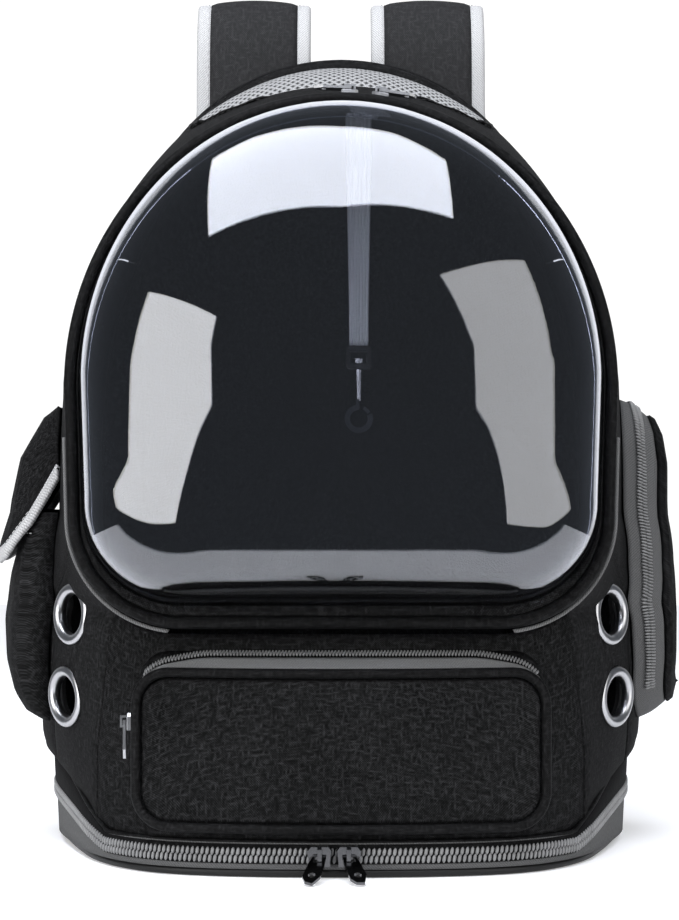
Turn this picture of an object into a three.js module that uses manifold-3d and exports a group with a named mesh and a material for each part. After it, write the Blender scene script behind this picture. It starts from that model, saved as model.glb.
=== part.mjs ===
// Bubble pet carrier backpack. Millimetres, +Z up, front towards -Y, standing on the plane z = 0.
import * as THREE from "three";
import { mergeVertices } from "three/addons/utils/BufferGeometryUtils.js";
import Module from "manifold-3d";

const wasm = await Module();
wasm.setup();

// Fits and stock thicknesses
const GAP = 0.3; // between pieces that touch
const FABRIC = 2; // one sewn fabric panel
const TAPE = 1.6; // woven zip tape
const COIL_H = 7.5; // closed zip teeth, across
const COIL_T = 2.2; // closed zip teeth, proud of the tape

// Base and body
const BASE_HALF_W = 164;
const BODY_DEPTH = 264; // front of the base to the back of the back panel
const TRAY_T = 4;
const TAPE_TOP = 18.5; // upper edge of the base zip tape at the front
const TAPE_RISE = 42; // how far that edge climbs towards the back
const TAPE_RUN = 70; // over what depth it climbs
const TAPE_TURN = 46; // where it starts, behind the front of the base
const BACK_T = 12;
const BACK_HALF_W = 160;
const BACK_TOP = 456;
const CROWN_R = 125.5; // top arc of the back panel
const CROWN_TURN = THREE.MathUtils.degToRad(62);
const BACK_CORNER_R = 16;
const RIM = 5; // how far the back panel stands proud of the walls

// Bubble ring and dome, in the ring's own leaning plane
const RING_Z = 127.4; // lowest edge
const RING_SET = 8; // set back of that edge from the front of the base
const RING_LEAN = THREE.MathUtils.degToRad(10);
const RING_HALF_W = 145.5;
const RING_HIGH = 288;
const RING_TAPER = 3; // narrower at the lower corners
const RING_CORNER_R = 60;
const RING_SHOULDER = 130; // height where the sides turn into the arch
const FLANGE_T = 3;
const FLANGE_BACK = 1.9; // the flange's seat behind the piping
const PIPING_R = 3.2;
const DOME_SIDE = 8.5; // ring's outer edge to the dome at the sides and top
const DOME_LOW = 12.8; // and at the bottom
const DOME_BULGE = 70;
const DOME_T = 2;
const DOME_LIP = 4.6; // sewn edge outside the dome's wall
const DOOR_BAND = 9; // zip band behind the ring

// Vents
const VENT_R = 10;
const VENT_RIM = 5;
const VENT_COLLAR = 1.2; // the grommet's tube wall
const VENT_SIDES = 12;
const VENT_HEIGHTS = { low: 87, high: 131 };

// Front pocket
const POCKET_W = 218;
const POCKET_Z = [23, 108];
const POCKET_R = 20;
const POCKET_STEPS = 32; // points round the pocket
const POCKET_FRONT = 8; // proud of the front of the base
const POCKET_BOW = 350; // radius of its bowed face
const POCKET_SLOPE = 9; // rise of the zip gusset to the body
const POCKET_PIPING_R = 2.5;

// Side pockets
const SIDE_POCKET_T = 2;
const WALL_GAP = 3 * GAP; // a pocket's edge off the swelling wall
const SIDE_Z = { low: 70, top: 249, hem: 186 };
const SIDE_PROUD = 22;
const SIDE_SHARE = [0.45, 0.86]; // front and back edge, as shares of the flank

// Shoulder straps
const STRAP_W = 51;
const STRAP_T = 11;
const BINDING_W = 9.5;
const BINDING_T = 8;
const STRAP_X = 53;
const WEBBING_W = 25;
const WEBBING_T = 1.8;

// Zip sliders and pulls
const SLIDER = { w: 13, h: 11, t: 3.4, lug: 2.2, lugT: 1.2, play: 1.55 };
const SMALL_SLIDER = { w: 8, h: 9, t: 3, lug: 2, lugT: 1.1, play: 0.5 };
const PULL = { l: 27, w: 9, head: 6.6, t: 1.6, bar: 1.7, eye: 4.6, eyeL: 5.2 };
const SMALL_PULL = { l: 20, w: 6, head: 6, t: 1.4, bar: 1.5, eye: 3.8, eyeL: 3.2 };
const BASE_SLIDERS = { left: { x: -11, splay: 12 }, right: { x: 4, splay: -14 } };
const ROOF_SLIDERS = { left: { x: 4.8, way: -1 }, right: { x: 21.4, way: 1 } };
const POCKET_SLIDER_Z = 79;

// Tether inside the cabin
const TETHER = { x: 10, y: 0, w: 15, t: 1.6, end: 279 };
const CLIP = { w: 14, h: 13, d: 7, bar: 3.2 };
const HOOK = { stem: 2, play: 0.35, head: 3.4, shank: 20, r: 8, wire: 3, d: 3.2 };

const FRONT_Y = -BODY_DEPTH / 2 - 2;
const BACK_Y = FRONT_Y + BODY_DEPTH - BACK_T;

const V = (x, y, z) => new THREE.Vector3(x, y, z);
const lerp = THREE.MathUtils.lerp;
const mix = (a, b, k) => a.clone().lerp(b, k);
const range = (n) => Array.from({ length: n + 1 }, (_, i) => i / n);

// Reads a table of rows by its first column, with straight steps between rows.
function read(table, at, column) {
  const key = Object.keys(table[0])[0];
  let i = 1;
  while (i < table.length - 1 && table[i][key] < at) i++;
  const [a, b] = [table[i - 1], table[i]];
  const k = THREE.MathUtils.clamp((at - a[key]) / (b[key] - a[key]), 0, 1);
  return lerp(a[column], b[column], k);
}

// Closed solids

// A geometry with shared corners, no empty faces, and its faces pointing out.
function closed(geometry) {
  geometry.deleteAttribute("normal");
  geometry.deleteAttribute("uv");
  const merged = mergeVertices(geometry, 1e-3);
  const from = merged.index.array;
  const kept = [];
  for (let i = 0; i < from.length; i += 3) {
    const [a, b, c] = [from[i], from[i + 1], from[i + 2]];
    if (a !== b && b !== c && a !== c) kept.push(a, b, c);
  }
  const p = merged.attributes.position;
  const corner = (i) => new THREE.Vector3().fromBufferAttribute(p, i);
  let volume = 0;
  for (let i = 0; i < kept.length; i += 3) {
    volume += corner(kept[i]).dot(corner(kept[i + 1]).cross(corner(kept[i + 2])));
  }
  if (volume < 0) kept.reverse();
  merged.setIndex(kept);
  return merged;
}

function fromFaces(faces) {
  return closed(new THREE.BufferGeometry().setFromPoints(faces.flat()));
}

function quad(faces, a, b, c, d) {
  faces.push([a, b, c], [a, c, d]);
}

// A wall between an outer and an inner grid of points; its rows may close on themselves.
function wall(outer, inner, loop = false) {
  const faces = [];
  const n = outer.length;
  const m = outer[0].length - 1;
  for (let i = 0; i < (loop ? n : n - 1); i++) {
    const [o, p] = [outer[i], outer[(i + 1) % n]];
    const [r, q] = [inner[i], inner[(i + 1) % n]];
    for (let j = 0; j < m; j++) {
      quad(faces, o[j], p[j], p[j + 1], o[j + 1]);
      quad(faces, r[j + 1], q[j + 1], q[j], r[j]);
    }
    quad(faces, r[0], q[0], p[0], o[0]);
    quad(faces, o[m], p[m], q[m], r[m]);
  }
  for (let j = 0; j < m && !loop; j++) {
    const [a, b, c, d] = [outer[0], inner[0], outer[n - 1], inner[n - 1]];
    quad(faces, a[j], a[j + 1], b[j + 1], b[j]);
    quad(faces, d[j], d[j + 1], c[j + 1], c[j]);
  }
  return fromFaces(faces);
}

// A grid moved along its own normals by a distance.
function shifted(grid, distance, loop = false) {
  const n = grid.length;
  const m = grid[0].length;
  return grid.map((row, i) =>
    row.map((point, j) => {
      const before = grid[loop ? (i + n - 1) % n : Math.max(i - 1, 0)][j];
      const after = grid[loop ? (i + 1) % n : Math.min(i + 1, n - 1)][j];
      const across = row[Math.min(j + 1, m - 1)].clone().sub(row[Math.max(j - 1, 0)]);
      const normal = after.clone().sub(before).cross(across).normalize();
      return point.clone().addScaledVector(normal, distance);
    }),
  );
}

function sheet(grid, thickness, loop = false) {
  return wall(grid, shifted(grid, thickness, loop), loop);
}

// A solid through closed sections of the same count, capped unless it closes on itself.
function loft(sections, ring = false) {
  const faces = [];
  const n = sections.length;
  const m = sections[0].length;
  for (let i = 0; i < (ring ? n : n - 1); i++) {
    const [a, b] = [sections[i], sections[(i + 1) % n]];
    for (let j = 0; j < m; j++) {
      const next = (j + 1) % m;
      quad(faces, a[j], b[j], b[next], a[next]);
    }
  }
  for (let j = 1; j < m - 1 && !ring; j++) {
    const [a, b] = [sections[0], sections[n - 1]];
    faces.push([a[0], a[j], a[j + 1]], [b[0], b[j + 1], b[j]]);
  }
  return fromFaces(faces);
}

// Round cord along points, with its section in the plane of two given directions.
function roundCord(points, outward, up, radius, sides, ring) {
  const angles = range(sides).slice(1).map((k) => k * 2 * Math.PI);
  const section = (p, i) =>
    angles.map((a) =>
      p
        .clone()
        .addScaledVector(outward(i), radius * Math.cos(a))
        .addScaledVector(up(i), radius * Math.sin(a)),
    );
  return loft(points.map(section), ring);
}

function toManifold(geometry) {
  return new wasm.Manifold(
    new wasm.Mesh({
      numProp: 3,
      vertProperties: geometry.attributes.position.array,
      triVerts: new Uint32Array(geometry.index.array),
    }),
  );
}

function toGeometry(manifold) {
  const mesh = manifold.getMesh();
  const positions = [];
  for (let i = 0; i < mesh.numVert; i++) {
    const at = i * mesh.numProp;
    positions.push(...mesh.vertProperties.subarray(at, at + 3));
  }
  const geometry = new THREE.BufferGeometry();
  geometry.setAttribute("position", new THREE.Float32BufferAttribute(positions, 3));
  return geometry.setIndex([...mesh.triVerts]);
}

// What is left of a solid after the cutters, without loose slivers.
function cut(geometry, ...cutters) {
  const left = cutters.reduce((solid, c) => solid.subtract(toManifold(c)), toManifold(geometry));
  const bodies = left.decompose().sort((a, b) => b.volume() - a.volume());
  return toGeometry(bodies[0]);
}

function joined(...parts) {
  return toGeometry(parts.map(toManifold).reduce((a, b) => a.add(b)));
}

function extruded(shape, depth, bevel = 0, steps = 8) {
  const options = { depth: depth - 2 * bevel, curveSegments: steps, bevelEnabled: bevel > 0 };
  Object.assign(options, { bevelSize: bevel, bevelThickness: bevel, bevelOffset: -bevel, bevelSegments: 1 });
  const geometry = new THREE.ExtrudeGeometry(shape, options);
  return closed(geometry.translate(0, 0, bevel));
}

function box(w, d, h, x = 0, y = 0, z = 0) {
  return closed(new THREE.BoxGeometry(w, d, h).translate(x, y, z));
}

function roundedRect(x0, y0, x1, y1, r) {
  const s = new THREE.Shape();
  s.moveTo(x0 + r, y0);
  s.lineTo(x1 - r, y0);
  s.absarc(x1 - r, y0 + r, r, -Math.PI / 2, 0, false);
  s.lineTo(x1, y1 - r);
  s.absarc(x1 - r, y1 - r, r, 0, Math.PI / 2, false);
  s.lineTo(x0 + r, y1);
  s.absarc(x0 + r, y1 - r, r, Math.PI / 2, Math.PI, false);
  s.lineTo(x0, y0 + r);
  s.absarc(x0 + r, y0 + r, r, Math.PI, 1.5 * Math.PI, false);
  return s;
}

// The ring's plane and outlines

// A point of the leaning plane: across, up the slope, and forward of it.
function onRing(across, up, forward) {
  const [c, s] = [Math.cos(RING_LEAN), Math.sin(RING_LEAN)];
  return V(across, FRONT_Y + RING_SET + up * s - forward * c, RING_Z + up * c + forward * s);
}

// Half of the ring's outline moved inwards, from the bottom centre to the crown.
function ringHalf(side, low = side) {
  const halfW = RING_HALF_W - side;
  const foot = halfW - RING_TAPER;
  const r = RING_CORNER_R - side;
  const path = new THREE.Path();
  path.moveTo(0, low);
  path.lineTo(foot - r, low);
  path.absarc(foot - r, low + r, r, -Math.PI / 2, 0, false);
  path.lineTo(halfW, RING_SHOULDER);
  path.absellipse(0, RING_SHOULDER, halfW, RING_HIGH - side - RING_SHOULDER, 0, Math.PI / 2, false, 0);
  return path;
}

// The whole closed outline as points in the ring's plane, with a count for each half.
function ringLoop(side, low, count) {
  const half = ringHalf(side, low).getSpacedPoints(count);
  const back = half.slice(1, -1).reverse().map((p) => new THREE.Vector2(-p.x, p.y));
  return [...half, ...back];
}

function loopNormals(loop) {
  return loop.map((p, i) => {
    const before = loop[(i + loop.length - 1) % loop.length];
    const after = loop[(i + 1) % loop.length];
    return new THREE.Vector2(after.y - before.y, before.x - after.x).normalize();
  });
}

const RING_STEPS = 16; // points on each half of the ring
const RING_FORWARD = onRing(0, 0, 1).sub(onRing(0, 0, 0));

// Where the walls meet the ring's zip band: share 0 at the lower corner's end, 1 at the crown.
const wallStart = -(DOOR_BAND + GAP);
const CREASE_TURN = THREE.MathUtils.degToRad(-54);

function ringCornerPoint(angle) {
  const foot = RING_HALF_W - RING_TAPER - RING_CORNER_R;
  const [c, s] = [Math.cos(angle), Math.sin(angle)];
  return onRing(foot + RING_CORNER_R * c, RING_CORNER_R * (1 + s), wallStart);
}

function ringArchPath() {
  const path = new THREE.Path();
  path.moveTo(RING_HALF_W - RING_TAPER, RING_CORNER_R);
  path.lineTo(RING_HALF_W, RING_SHOULDER);
  path.absellipse(0, RING_SHOULDER, RING_HALF_W, RING_HIGH - RING_SHOULDER, 0, Math.PI / 2, false, 0);
  return path;
}

// Half of the back panel's outline from a start height to the crown, moved inwards.
function backHalf(from, inset) {
  const r = CROWN_R - inset;
  const centre = BACK_TOP - CROWN_R;
  const sine = Math.sin(CROWN_TURN);
  const flankR = (BACK_HALF_W - CROWN_R * sine) / (1 - sine) - inset;
  const flankX = BACK_HALF_W - inset - flankR;
  const flankZ = centre - (flankR - r) * Math.cos(CROWN_TURN);
  const path = new THREE.Path();
  path.moveTo(BACK_HALF_W - inset, from);
  path.lineTo(BACK_HALF_W - inset, flankZ);
  path.absarc(flankX, flankZ, flankR, 0, Math.PI / 2 - CROWN_TURN, false);
  path.absarc(0, centre, r, Math.PI / 2 - CROWN_TURN, Math.PI / 2, false);
  return path;
}

const RING_ARCH = ringArchPath();
const SHOULDER_Z = ringCornerPoint(0).z;
const CREASE_Z = ringCornerPoint(CREASE_TURN).z;
const BACK_ARCH = backHalf(SHOULDER_Z, RIM);

// Body walls

// Front half of the body's plan at a few heights: shares of the ring's height, the half width and the depth.
const PLAN = [
  { at: 0, creaseX: 0.799, creaseY: 0.216, front: 0, cornerX: 0.58, cornerY: 0.0625 },
  { at: 0.47, creaseX: 0.796, creaseY: 0.193, front: 0.016, cornerX: 0.58, cornerY: 0.064 },
  { at: 0.785, creaseX: 0.762, creaseY: 0.125, front: 0.042, cornerX: 0.573, cornerY: 0.066 },
  { at: 1, creaseX: 0.742, creaseY: 0.087, front: 0.066, cornerX: 0.573, cornerY: 0.07 },
];
// How far the flank swells out, as shares of the half width, along its height.
const SWELL = [
  { at: 0, fore: 0.05, aft: 0.085 },
  { at: 0.35, fore: 0.088, aft: 0.138 },
  { at: 0.75, fore: 0.11, aft: 0.155 },
  { at: 1, fore: 0.105, aft: 0.15 },
  { at: 1.5, fore: 0.05, aft: 0.095 },
  { at: 2, fore: 0.035, aft: 0.06 },
  { at: 2.5, fore: 0.03, aft: 0.04 },
  { at: 3, fore: 0.02, aft: 0.02 },
];

function tapeTop(y) {
  const past = Math.max(0, y - (FRONT_Y + TAPE_TURN));
  return TAPE_TOP + TAPE_RISE * (1 - Math.exp(-past / TAPE_RUN));
}

function planPoint(xColumn, yColumn, z) {
  const at = z / RING_Z;
  const x = xColumn ? read(PLAN, at, xColumn) * BASE_HALF_W : 0;
  return V(x, FRONT_Y + read(PLAN, at, yColumn) * BODY_DEPTH, z);
}

function creasePoint(z) {
  const top = ringCornerPoint(CREASE_TURN);
  if (z >= RING_Z) return mix(planPoint("creaseX", "creaseY", RING_Z), top, (z - RING_Z) / (top.z - RING_Z));
  return planPoint("creaseX", "creaseY", z);
}

// A point of the right flank: depth share 0 at the front to 1 at the back panel.
// Height runs 0 to 1 from a base height to the crease's top, to 2 at the shoulder and 3 at the crown.
function flank(share, height, base) {
  let front;
  let back;
  if (height <= 1) {
    const z = lerp(base, CREASE_Z, height);
    front = creasePoint(z);
    back = V(BACK_HALF_W - RIM, BACK_Y, z);
  } else if (height <= 2) {
    front = ringCornerPoint(CREASE_TURN * (2 - height));
    back = V(BACK_HALF_W - RIM, BACK_Y, front.z);
  } else {
    const edge = RING_ARCH.getPointAt(height - 2);
    const rim = BACK_ARCH.getPointAt(height - 2);
    front = onRing(edge.x, edge.y, wallStart);
    back = V(rim.x, BACK_Y, rim.y);
  }
  const turn = (Math.max(0, height - 2) * Math.PI) / 2;
  const out = V(Math.cos(turn), 0, Math.sin(turn)).multiplyScalar(BASE_HALF_W);
  const at = height <= 1 ? front.z / CREASE_Z : height;
  const fore = mix(front, back, 0.25).addScaledVector(out, read(SWELL, at, "fore"));
  const aft = mix(front, back, 0.62).addScaledVector(out, read(SWELL, at, "aft"));
  return new THREE.CatmullRomCurve3([front, fore, aft, back]).getPoint(share);
}

// The same with the wall's lower edge on the base zip tape.
function flankOnTape(share, height) {
  const level = flank(share, 0, TAPE_TOP);
  return flank(share, height, tapeTop(level.y) + GAP);
}

function frontPoint(share, z) {
  const crease = creasePoint(z);
  const corner = planPoint("cornerX", "cornerY", z);
  const centre = planPoint("", "front", z);
  const left = (p) => V(-p.x, p.y, p.z);
  return new THREE.CatmullRomCurve3([left(crease), left(corner), centre, corner, crease]).getPoint(share);
}

const mirrored = (grid) => grid.map((row) => row.map((p) => V(-p.x, p.y, p.z)));

// Where the vent panel ends and the side panel starts.
const VENT_SHARE = 0.44;
const VENT_END = 1.86;
function ventEdge(height) {
  if (height <= 1.1) return VENT_SHARE;
  return VENT_SHARE * Math.max(0, 1 - ((height - 1.1) / (VENT_END - 1.1)) ** 1.6);
}
const SEAM = 0.0015; // half of a seam's gap, as a share of the flank
const SIDE_TOP = 2.45; // where the side panel hands over to the roof

function frontPanelGrid(end) {
  const ringLow = (x) => {
    const over = Math.max(0, Math.abs(x) - (RING_HALF_W - RING_TAPER - RING_CORNER_R));
    const sunk = RING_CORNER_R - Math.sqrt(Math.max(0, RING_CORNER_R ** 2 - over ** 2));
    return onRing(0, sunk, wallStart).z;
  };
  const shares = range(16).map((k) => lerp(end, 1 - end, k));
  return shares.map((share) => {
    const base = tapeTop(frontPoint(share, TAPE_TOP).y) + GAP;
    const top = ringLow(frontPoint(share, RING_Z).x) - 6 * GAP;
    return range(5).map((k) => frontPoint(share, lerp(base, top, k)));
  });
}

function frontPanel() {
  return sheet(frontPanelGrid(0.004), -FABRIC);
}

// The front panel with its clearance all round, to trim what meets it at the crease.
function frontEnvelope() {
  const grid = frontPanelGrid(0.0005).map((row) => {
    const down = row[0].clone().setZ(row[0].z - 3);
    const up = row[row.length - 1].clone().setZ(row[row.length - 1].z + 3);
    return [down, ...row, up];
  });
  return wall(shifted(grid, GAP), shifted(grid, -FABRIC - GAP));
}

function ventPanelGrid() {
  const heights = [0, 0.25, 0.5, 0.75, 1, 1.2, 1.4, 1.6, 1.76];
  return heights.map((h) =>
    range(4).map((k) => flankOnTape(lerp(SEAM, ventEdge(h) - SEAM, k), h)),
  );
}

function sidePanelGrid() {
  const heights = [0, 0.25, 0.5, 0.75, 1, 1.2, 1.4, 1.6, 1.76, 1.88, 2.08, 2.27, SIDE_TOP];
  return heights.map((h) => {
    const from = h < VENT_END ? ventEdge(h) + SEAM : 0;
    return range(6).map((k) => flankOnTape(lerp(from, 1 - 2 * SEAM, k), h));
  });
}

function roofGrid(extra = 0) {
  const half = range(6).map((k) => lerp(SIDE_TOP + 0.0025, 3, k));
  const right = half.map((h) => range(5).map((k) => flank(lerp(0, 1 - 2 * SEAM, k), h, TAPE_TOP)));
  const all = [...right, ...mirrored(right.slice(0, -1)).reverse()];
  return extra ? shifted(all, extra) : all;
}

// Roof with its mesh window
const WINDOW = { halfW: 82, front: 36, back: 14, r: 40 }; // from the roof's front and back edges
function windowCutter(margin) {
  const y0 = flank(0, 3, TAPE_TOP).y + WINDOW.front + margin;
  const y1 = BACK_Y - WINDOW.back - margin;
  const w = WINDOW.halfW - margin;
  const low = SHOULDER_Z;
  return extruded(roundedRect(-w, y0, w, y1, WINDOW.r), BACK_TOP - low, 0, 6).translate(0, 0, low);
}

function roofGusset() {
  return cut(sheet(roofGrid(), FABRIC), windowCutter(0));
}

function roofMesh() {
  const solid = toManifold(sheet(roofGrid(0.6), FABRIC + 0.6));
  return toGeometry(solid.intersect(toManifold(windowCutter(GAP))));
}

// Base

function perimeter(z, offset = 0) {
  const right = range(11).map((k) => flank(k, 0, z));
  const front = range(18).map((k) => frontPoint(k, z)).slice(1, -1);
  const left = right.map((p) => V(-p.x, p.y, p.z));
  const line = [...left.reverse(), ...front, ...right];
  return line.map((p, i) => {
    const along = line[Math.min(i + 1, line.length - 1)].clone().sub(line[Math.max(i - 1, 0)]);
    return p.clone().addScaledVector(V(along.y, -along.x, 0).normalize(), offset);
  });
}

function baseTray() {
  const line = perimeter(TRAY_T, 1);
  const shape = new THREE.Shape(line.map((p) => new THREE.Vector2(p.x, p.y)));
  const end = line[line.length - 1];
  shape.lineTo(end.x, BACK_Y + BACK_T - BACK_CORNER_R / 2);
  shape.lineTo(end.x - BACK_CORNER_R / 2, BACK_Y + BACK_T);
  shape.lineTo(BACK_CORNER_R / 2 - end.x, BACK_Y + BACK_T);
  shape.lineTo(-end.x, BACK_Y + BACK_T - BACK_CORNER_R / 2);
  return extruded(shape, TRAY_T, 0.8, 1);
}

// A band standing on the base's outline between two heights.
function baseBand(offset, thickness, low, high) {
  const ends = BACK_Y - GAP;
  const line = perimeter(TAPE_TOP, offset).map((p) => V(p.x, Math.min(p.y, ends), p.z));
  const column = (p) => [V(p.x, p.y, low(p.y)), V(p.x, p.y, high(p.y))];
  return sheet(line.map(column), thickness);
}

function baseTape() {
  return baseBand(0, -TAPE, () => TRAY_T + GAP, (y) => tapeTop(y));
}

function baseTeeth() {
  const middle = (y) => lerp(TRAY_T, tapeTop(y), 0.52);
  return baseBand(GAP, COIL_T, (y) => middle(y) - COIL_H / 2, (y) => middle(y) + COIL_H / 2);
}

function backPanel() {
  const half = backHalf(TRAY_T + GAP + BACK_CORNER_R, 0);
  const right = half.getSpacedPoints(16);
  const shape = new THREE.Shape();
  shape.moveTo(0, TRAY_T + GAP);
  shape.lineTo(BACK_HALF_W - BACK_CORNER_R, TRAY_T + GAP);
  right.forEach((p) => shape.lineTo(p.x, p.y));
  right.slice(0, -1).reverse().forEach((p) => shape.lineTo(-p.x, p.y));
  shape.lineTo(BACK_CORNER_R - BACK_HALF_W, TRAY_T + GAP);
  shape.closePath();
  const slab = extruded(shape, BACK_T - GAP, 3);
  return slab.rotateX(Math.PI / 2).translate(0, BACK_Y + BACK_T, 0);
}

// Ring, piping, dome and zip band

function ringStrip(innerSide, innerLow, outerSide, n0, n1) {
  const outer = ringLoop(outerSide, outerSide, RING_STEPS);
  const inner = ringLoop(innerSide, innerLow, RING_STEPS);
  const sections = outer.map((p, i) => [
    onRing(p.x, p.y, n0),
    onRing(p.x, p.y, n1),
    onRing(inner[i].x, inner[i].y, n1),
    onRing(inner[i].x, inner[i].y, n0),
  ]);
  return loft(sections, true);
}

const PIPING_IN = PIPING_R + 0.2; // centre of the piping, in from the ring's edge
const FLANGE_LOW = -(FLANGE_BACK + FABRIC);

// Fabric flange: its inner band stands beside the piping, its outer part runs behind it.
function bubbleRing() {
  const beside = PIPING_IN + PIPING_R + GAP;
  const corners = [
    [1, 1, FLANGE_LOW],
    [1, 1, -FLANGE_BACK],
    [beside, beside, -FLANGE_BACK],
    [beside, beside, FLANGE_T],
    [DOME_SIDE - GAP, DOME_LOW - GAP, FLANGE_T],
    [DOME_SIDE - GAP, DOME_LOW - GAP, FLANGE_LOW],
  ];
  const loops = corners.map(([side, low, n]) =>
    ringLoop(side, low, RING_STEPS).map((p) => onRing(p.x, p.y, n)),
  );
  return loft(loops[0].map((_, i) => loops.map((loop) => loop[i])), true);
}

function ringPiping() {
  const loop = ringLoop(PIPING_IN, PIPING_IN, RING_STEPS);
  const normals = loopNormals(loop);
  const points = loop.map((p) => onRing(p.x, p.y, PIPING_R / 2));
  const outward = (i) => onRing(normals[i].x, normals[i].y, 0).sub(onRing(0, 0, 0));
  return roundCord(points, outward, () => RING_FORWARD, PIPING_R, 6, true);
}

// Dome from its edge to its crown, as turns from the ring's plane to straight ahead.
const DOME_POWER = 2 / 2.7;
const DOME_TURNS = [0, 20, 42, 61, 77, 90];
function domeGrid(inset) {
  const loop = ringLoop(DOME_SIDE + inset, DOME_LOW + inset, RING_STEPS);
  const centre = new THREE.Vector2(0, (RING_HIGH + DOME_LOW - DOME_SIDE) / 2);
  return loop.map((p) =>
    DOME_TURNS.map((degrees) => {
      const a = THREE.MathUtils.degToRad(degrees);
      const left = degrees === 90 ? 0 : Math.cos(a) ** DOME_POWER;
      const at = centre.clone().lerp(p, left);
      return onRing(at.x, at.y, (DOME_BULGE - inset) * Math.sin(a) ** DOME_POWER);
    }),
  );
}

// The clear shell with its lip behind the flange.
function bubbleDome() {
  const seat = FLANGE_LOW - GAP;
  const foot = (inset, down) =>
    ringLoop(DOME_SIDE + inset, DOME_LOW + inset, RING_STEPS).map((p) => onRing(p.x, p.y, down));
  const [lip, lipTop, wallFoot] = [foot(-DOME_LIP, seat - DOME_T), foot(-DOME_LIP, seat), foot(0, seat)];
  const inside = foot(DOME_T, seat - DOME_T);
  const outer = domeGrid(0).map((row, i) => [lipTop[i], wallFoot[i], ...row.slice(1)]);
  const inner = domeGrid(DOME_T).map((row, i) => [lip[i], inside[i], ...row.slice(1)]);
  return wall(outer, inner, true);
}

function doorBand() {
  const out = 1.2;
  return ringStrip(out + FABRIC, out + FABRIC, out, -DOOR_BAND, FLANGE_LOW - GAP);
}

// Light tape that peeps out round one lower corner of the ring.
function cornerTape() {
  const edge = ringHalf(-1.8).getSpacedPoints(60);
  const inner = ringHalf(0).getSpacedPoints(60);
  const picked = range(14).map((k) => Math.round(lerp(11, 27, k)));
  const sections = picked.map((i) =>
    [[edge[i], -2.4], [edge[i], -4], [inner[i], -4], [inner[i], -2.4]].map(([p, n]) => onRing(p.x, p.y, n)),
  );
  return loft(sections);
}

// Vents

// A turned and seated frame on the right flank: its point and its outward direction.
function flankSeat(share, height) {
  const at = flankOnTape(share, height);
  const up = flankOnTape(share, height + 0.03).sub(flankOnTape(share, height - 0.03));
  const along = flankOnTape(share + 0.03, height).sub(flankOnTape(share - 0.03, height));
  return { at, out: along.cross(up).normalize() };
}

function ventProfile() {
  const points = [
    [VENT_R, -FABRIC - VENT_COLLAR],
    [VENT_R + VENT_RIM - 1, -FABRIC - VENT_COLLAR],
    [VENT_R + VENT_RIM - 1, -FABRIC - GAP],
    [VENT_R + VENT_COLLAR, -FABRIC - GAP],
    [VENT_R + VENT_COLLAR, GAP],
    [VENT_R + VENT_RIM, GAP],
    [VENT_R + VENT_RIM, 1],
    [VENT_R + VENT_RIM / 2, 2],
    [VENT_R + 0.4, 1.2],
  ];
  return [...points, points[0]].map(([r, z]) => new THREE.Vector2(r, z));
}

function vent() {
  return closed(new THREE.LatheGeometry(ventProfile(), VENT_SIDES).rotateX(Math.PI / 2));
}

// What a vent takes out of its panel: its hole, and the rims pressed into the fabric.
function ventSeat(side) {
  const drum = (r, from, to) => {
    const cylinder = new THREE.CylinderGeometry(r, r, to - from, VENT_SIDES);
    const upright = cylinder.translate(0, (from + to) / 2, 0).rotateX(Math.PI / 2);
    return closed(placedOut(upright, side));
  };
  const hole = VENT_R + VENT_COLLAR + GAP;
  const rim = VENT_R + VENT_RIM + GAP;
  const past = 4 * FABRIC;
  return [drum(hole, -past, past), drum(rim, 0, past), drum(rim, -past, -FABRIC)];
}

// Moves a geometry made along +Z onto a seat that faces outwards.
function placedOut(geometry, seat) {
  const turn = new THREE.Quaternion().setFromUnitVectors(V(0, 0, 1), seat.out);
  return geometry.applyQuaternion(turn).translate(seat.at.x, seat.at.y, seat.at.z);
}

const ventSeats = Object.fromEntries(
  Object.entries(VENT_HEIGHTS).map(([name, z]) => {
    const share = 0.27;
    const base = tapeTop(flank(share, 0, TAPE_TOP).y) + GAP;
    return [name, flankSeat(share, (z - base) / (CREASE_Z - base))];
  }),
);

function ventPanel() {
  const cutters = Object.values(ventSeats).flatMap((seat) => ventSeat(seat));
  return cut(sheet(ventPanelGrid(), FABRIC), frontEnvelope(), ...cutters);
}

// Front pocket

// Depth of the bowed pocket face at a width.
function pocketFace(x) {
  return FRONT_Y - POCKET_FRONT + POCKET_BOW - Math.sqrt(POCKET_BOW ** 2 - x ** 2);
}

// The pocket's outline moved inwards, at a depth behind its face.
function pocketLoop(inset, back) {
  const [low, high] = POCKET_Z;
  const w = POCKET_W / 2 - inset;
  const shape = roundedRect(-w, low + inset, w, high - inset, Math.max(POCKET_R - inset, 1));
  const loop = shape.getSpacedPoints(POCKET_STEPS).slice(0, -1);
  return loop.map((p) => V(p.x, pocketFace(p.x) + back, p.y));
}

// Depth of the front panel's outer face at a width and height.
function frontAt(x, z) {
  let [a, b] = [0, 1];
  for (let i = 0; i < 20; i++) {
    const middle = (a + b) / 2;
    if (frontPoint(middle, z).x < x) a = middle;
    else b = middle;
  }
  return frontPoint(a, z).y;
}

// Where the gusset meets the body: the top climbs the slope of the zip.
function pocketFoot(inset) {
  return pocketLoop(inset, 0).map((p) => {
    const climb = THREE.MathUtils.smoothstep(p.z, POCKET_Z[1] - POCKET_R, POCKET_Z[1] - inset);
    const z = p.z + climb * POCKET_SLOPE;
    return V(p.x, frontAt(p.x, z) - 4 * GAP, z);
  });
}

const POCKET_EDGE = 2 * POCKET_PIPING_R + 6 * GAP; // what the piping takes of the face's edge
const POCKET_SIDE = 1.2; // gusset, in from the piping's outer edge

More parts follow.
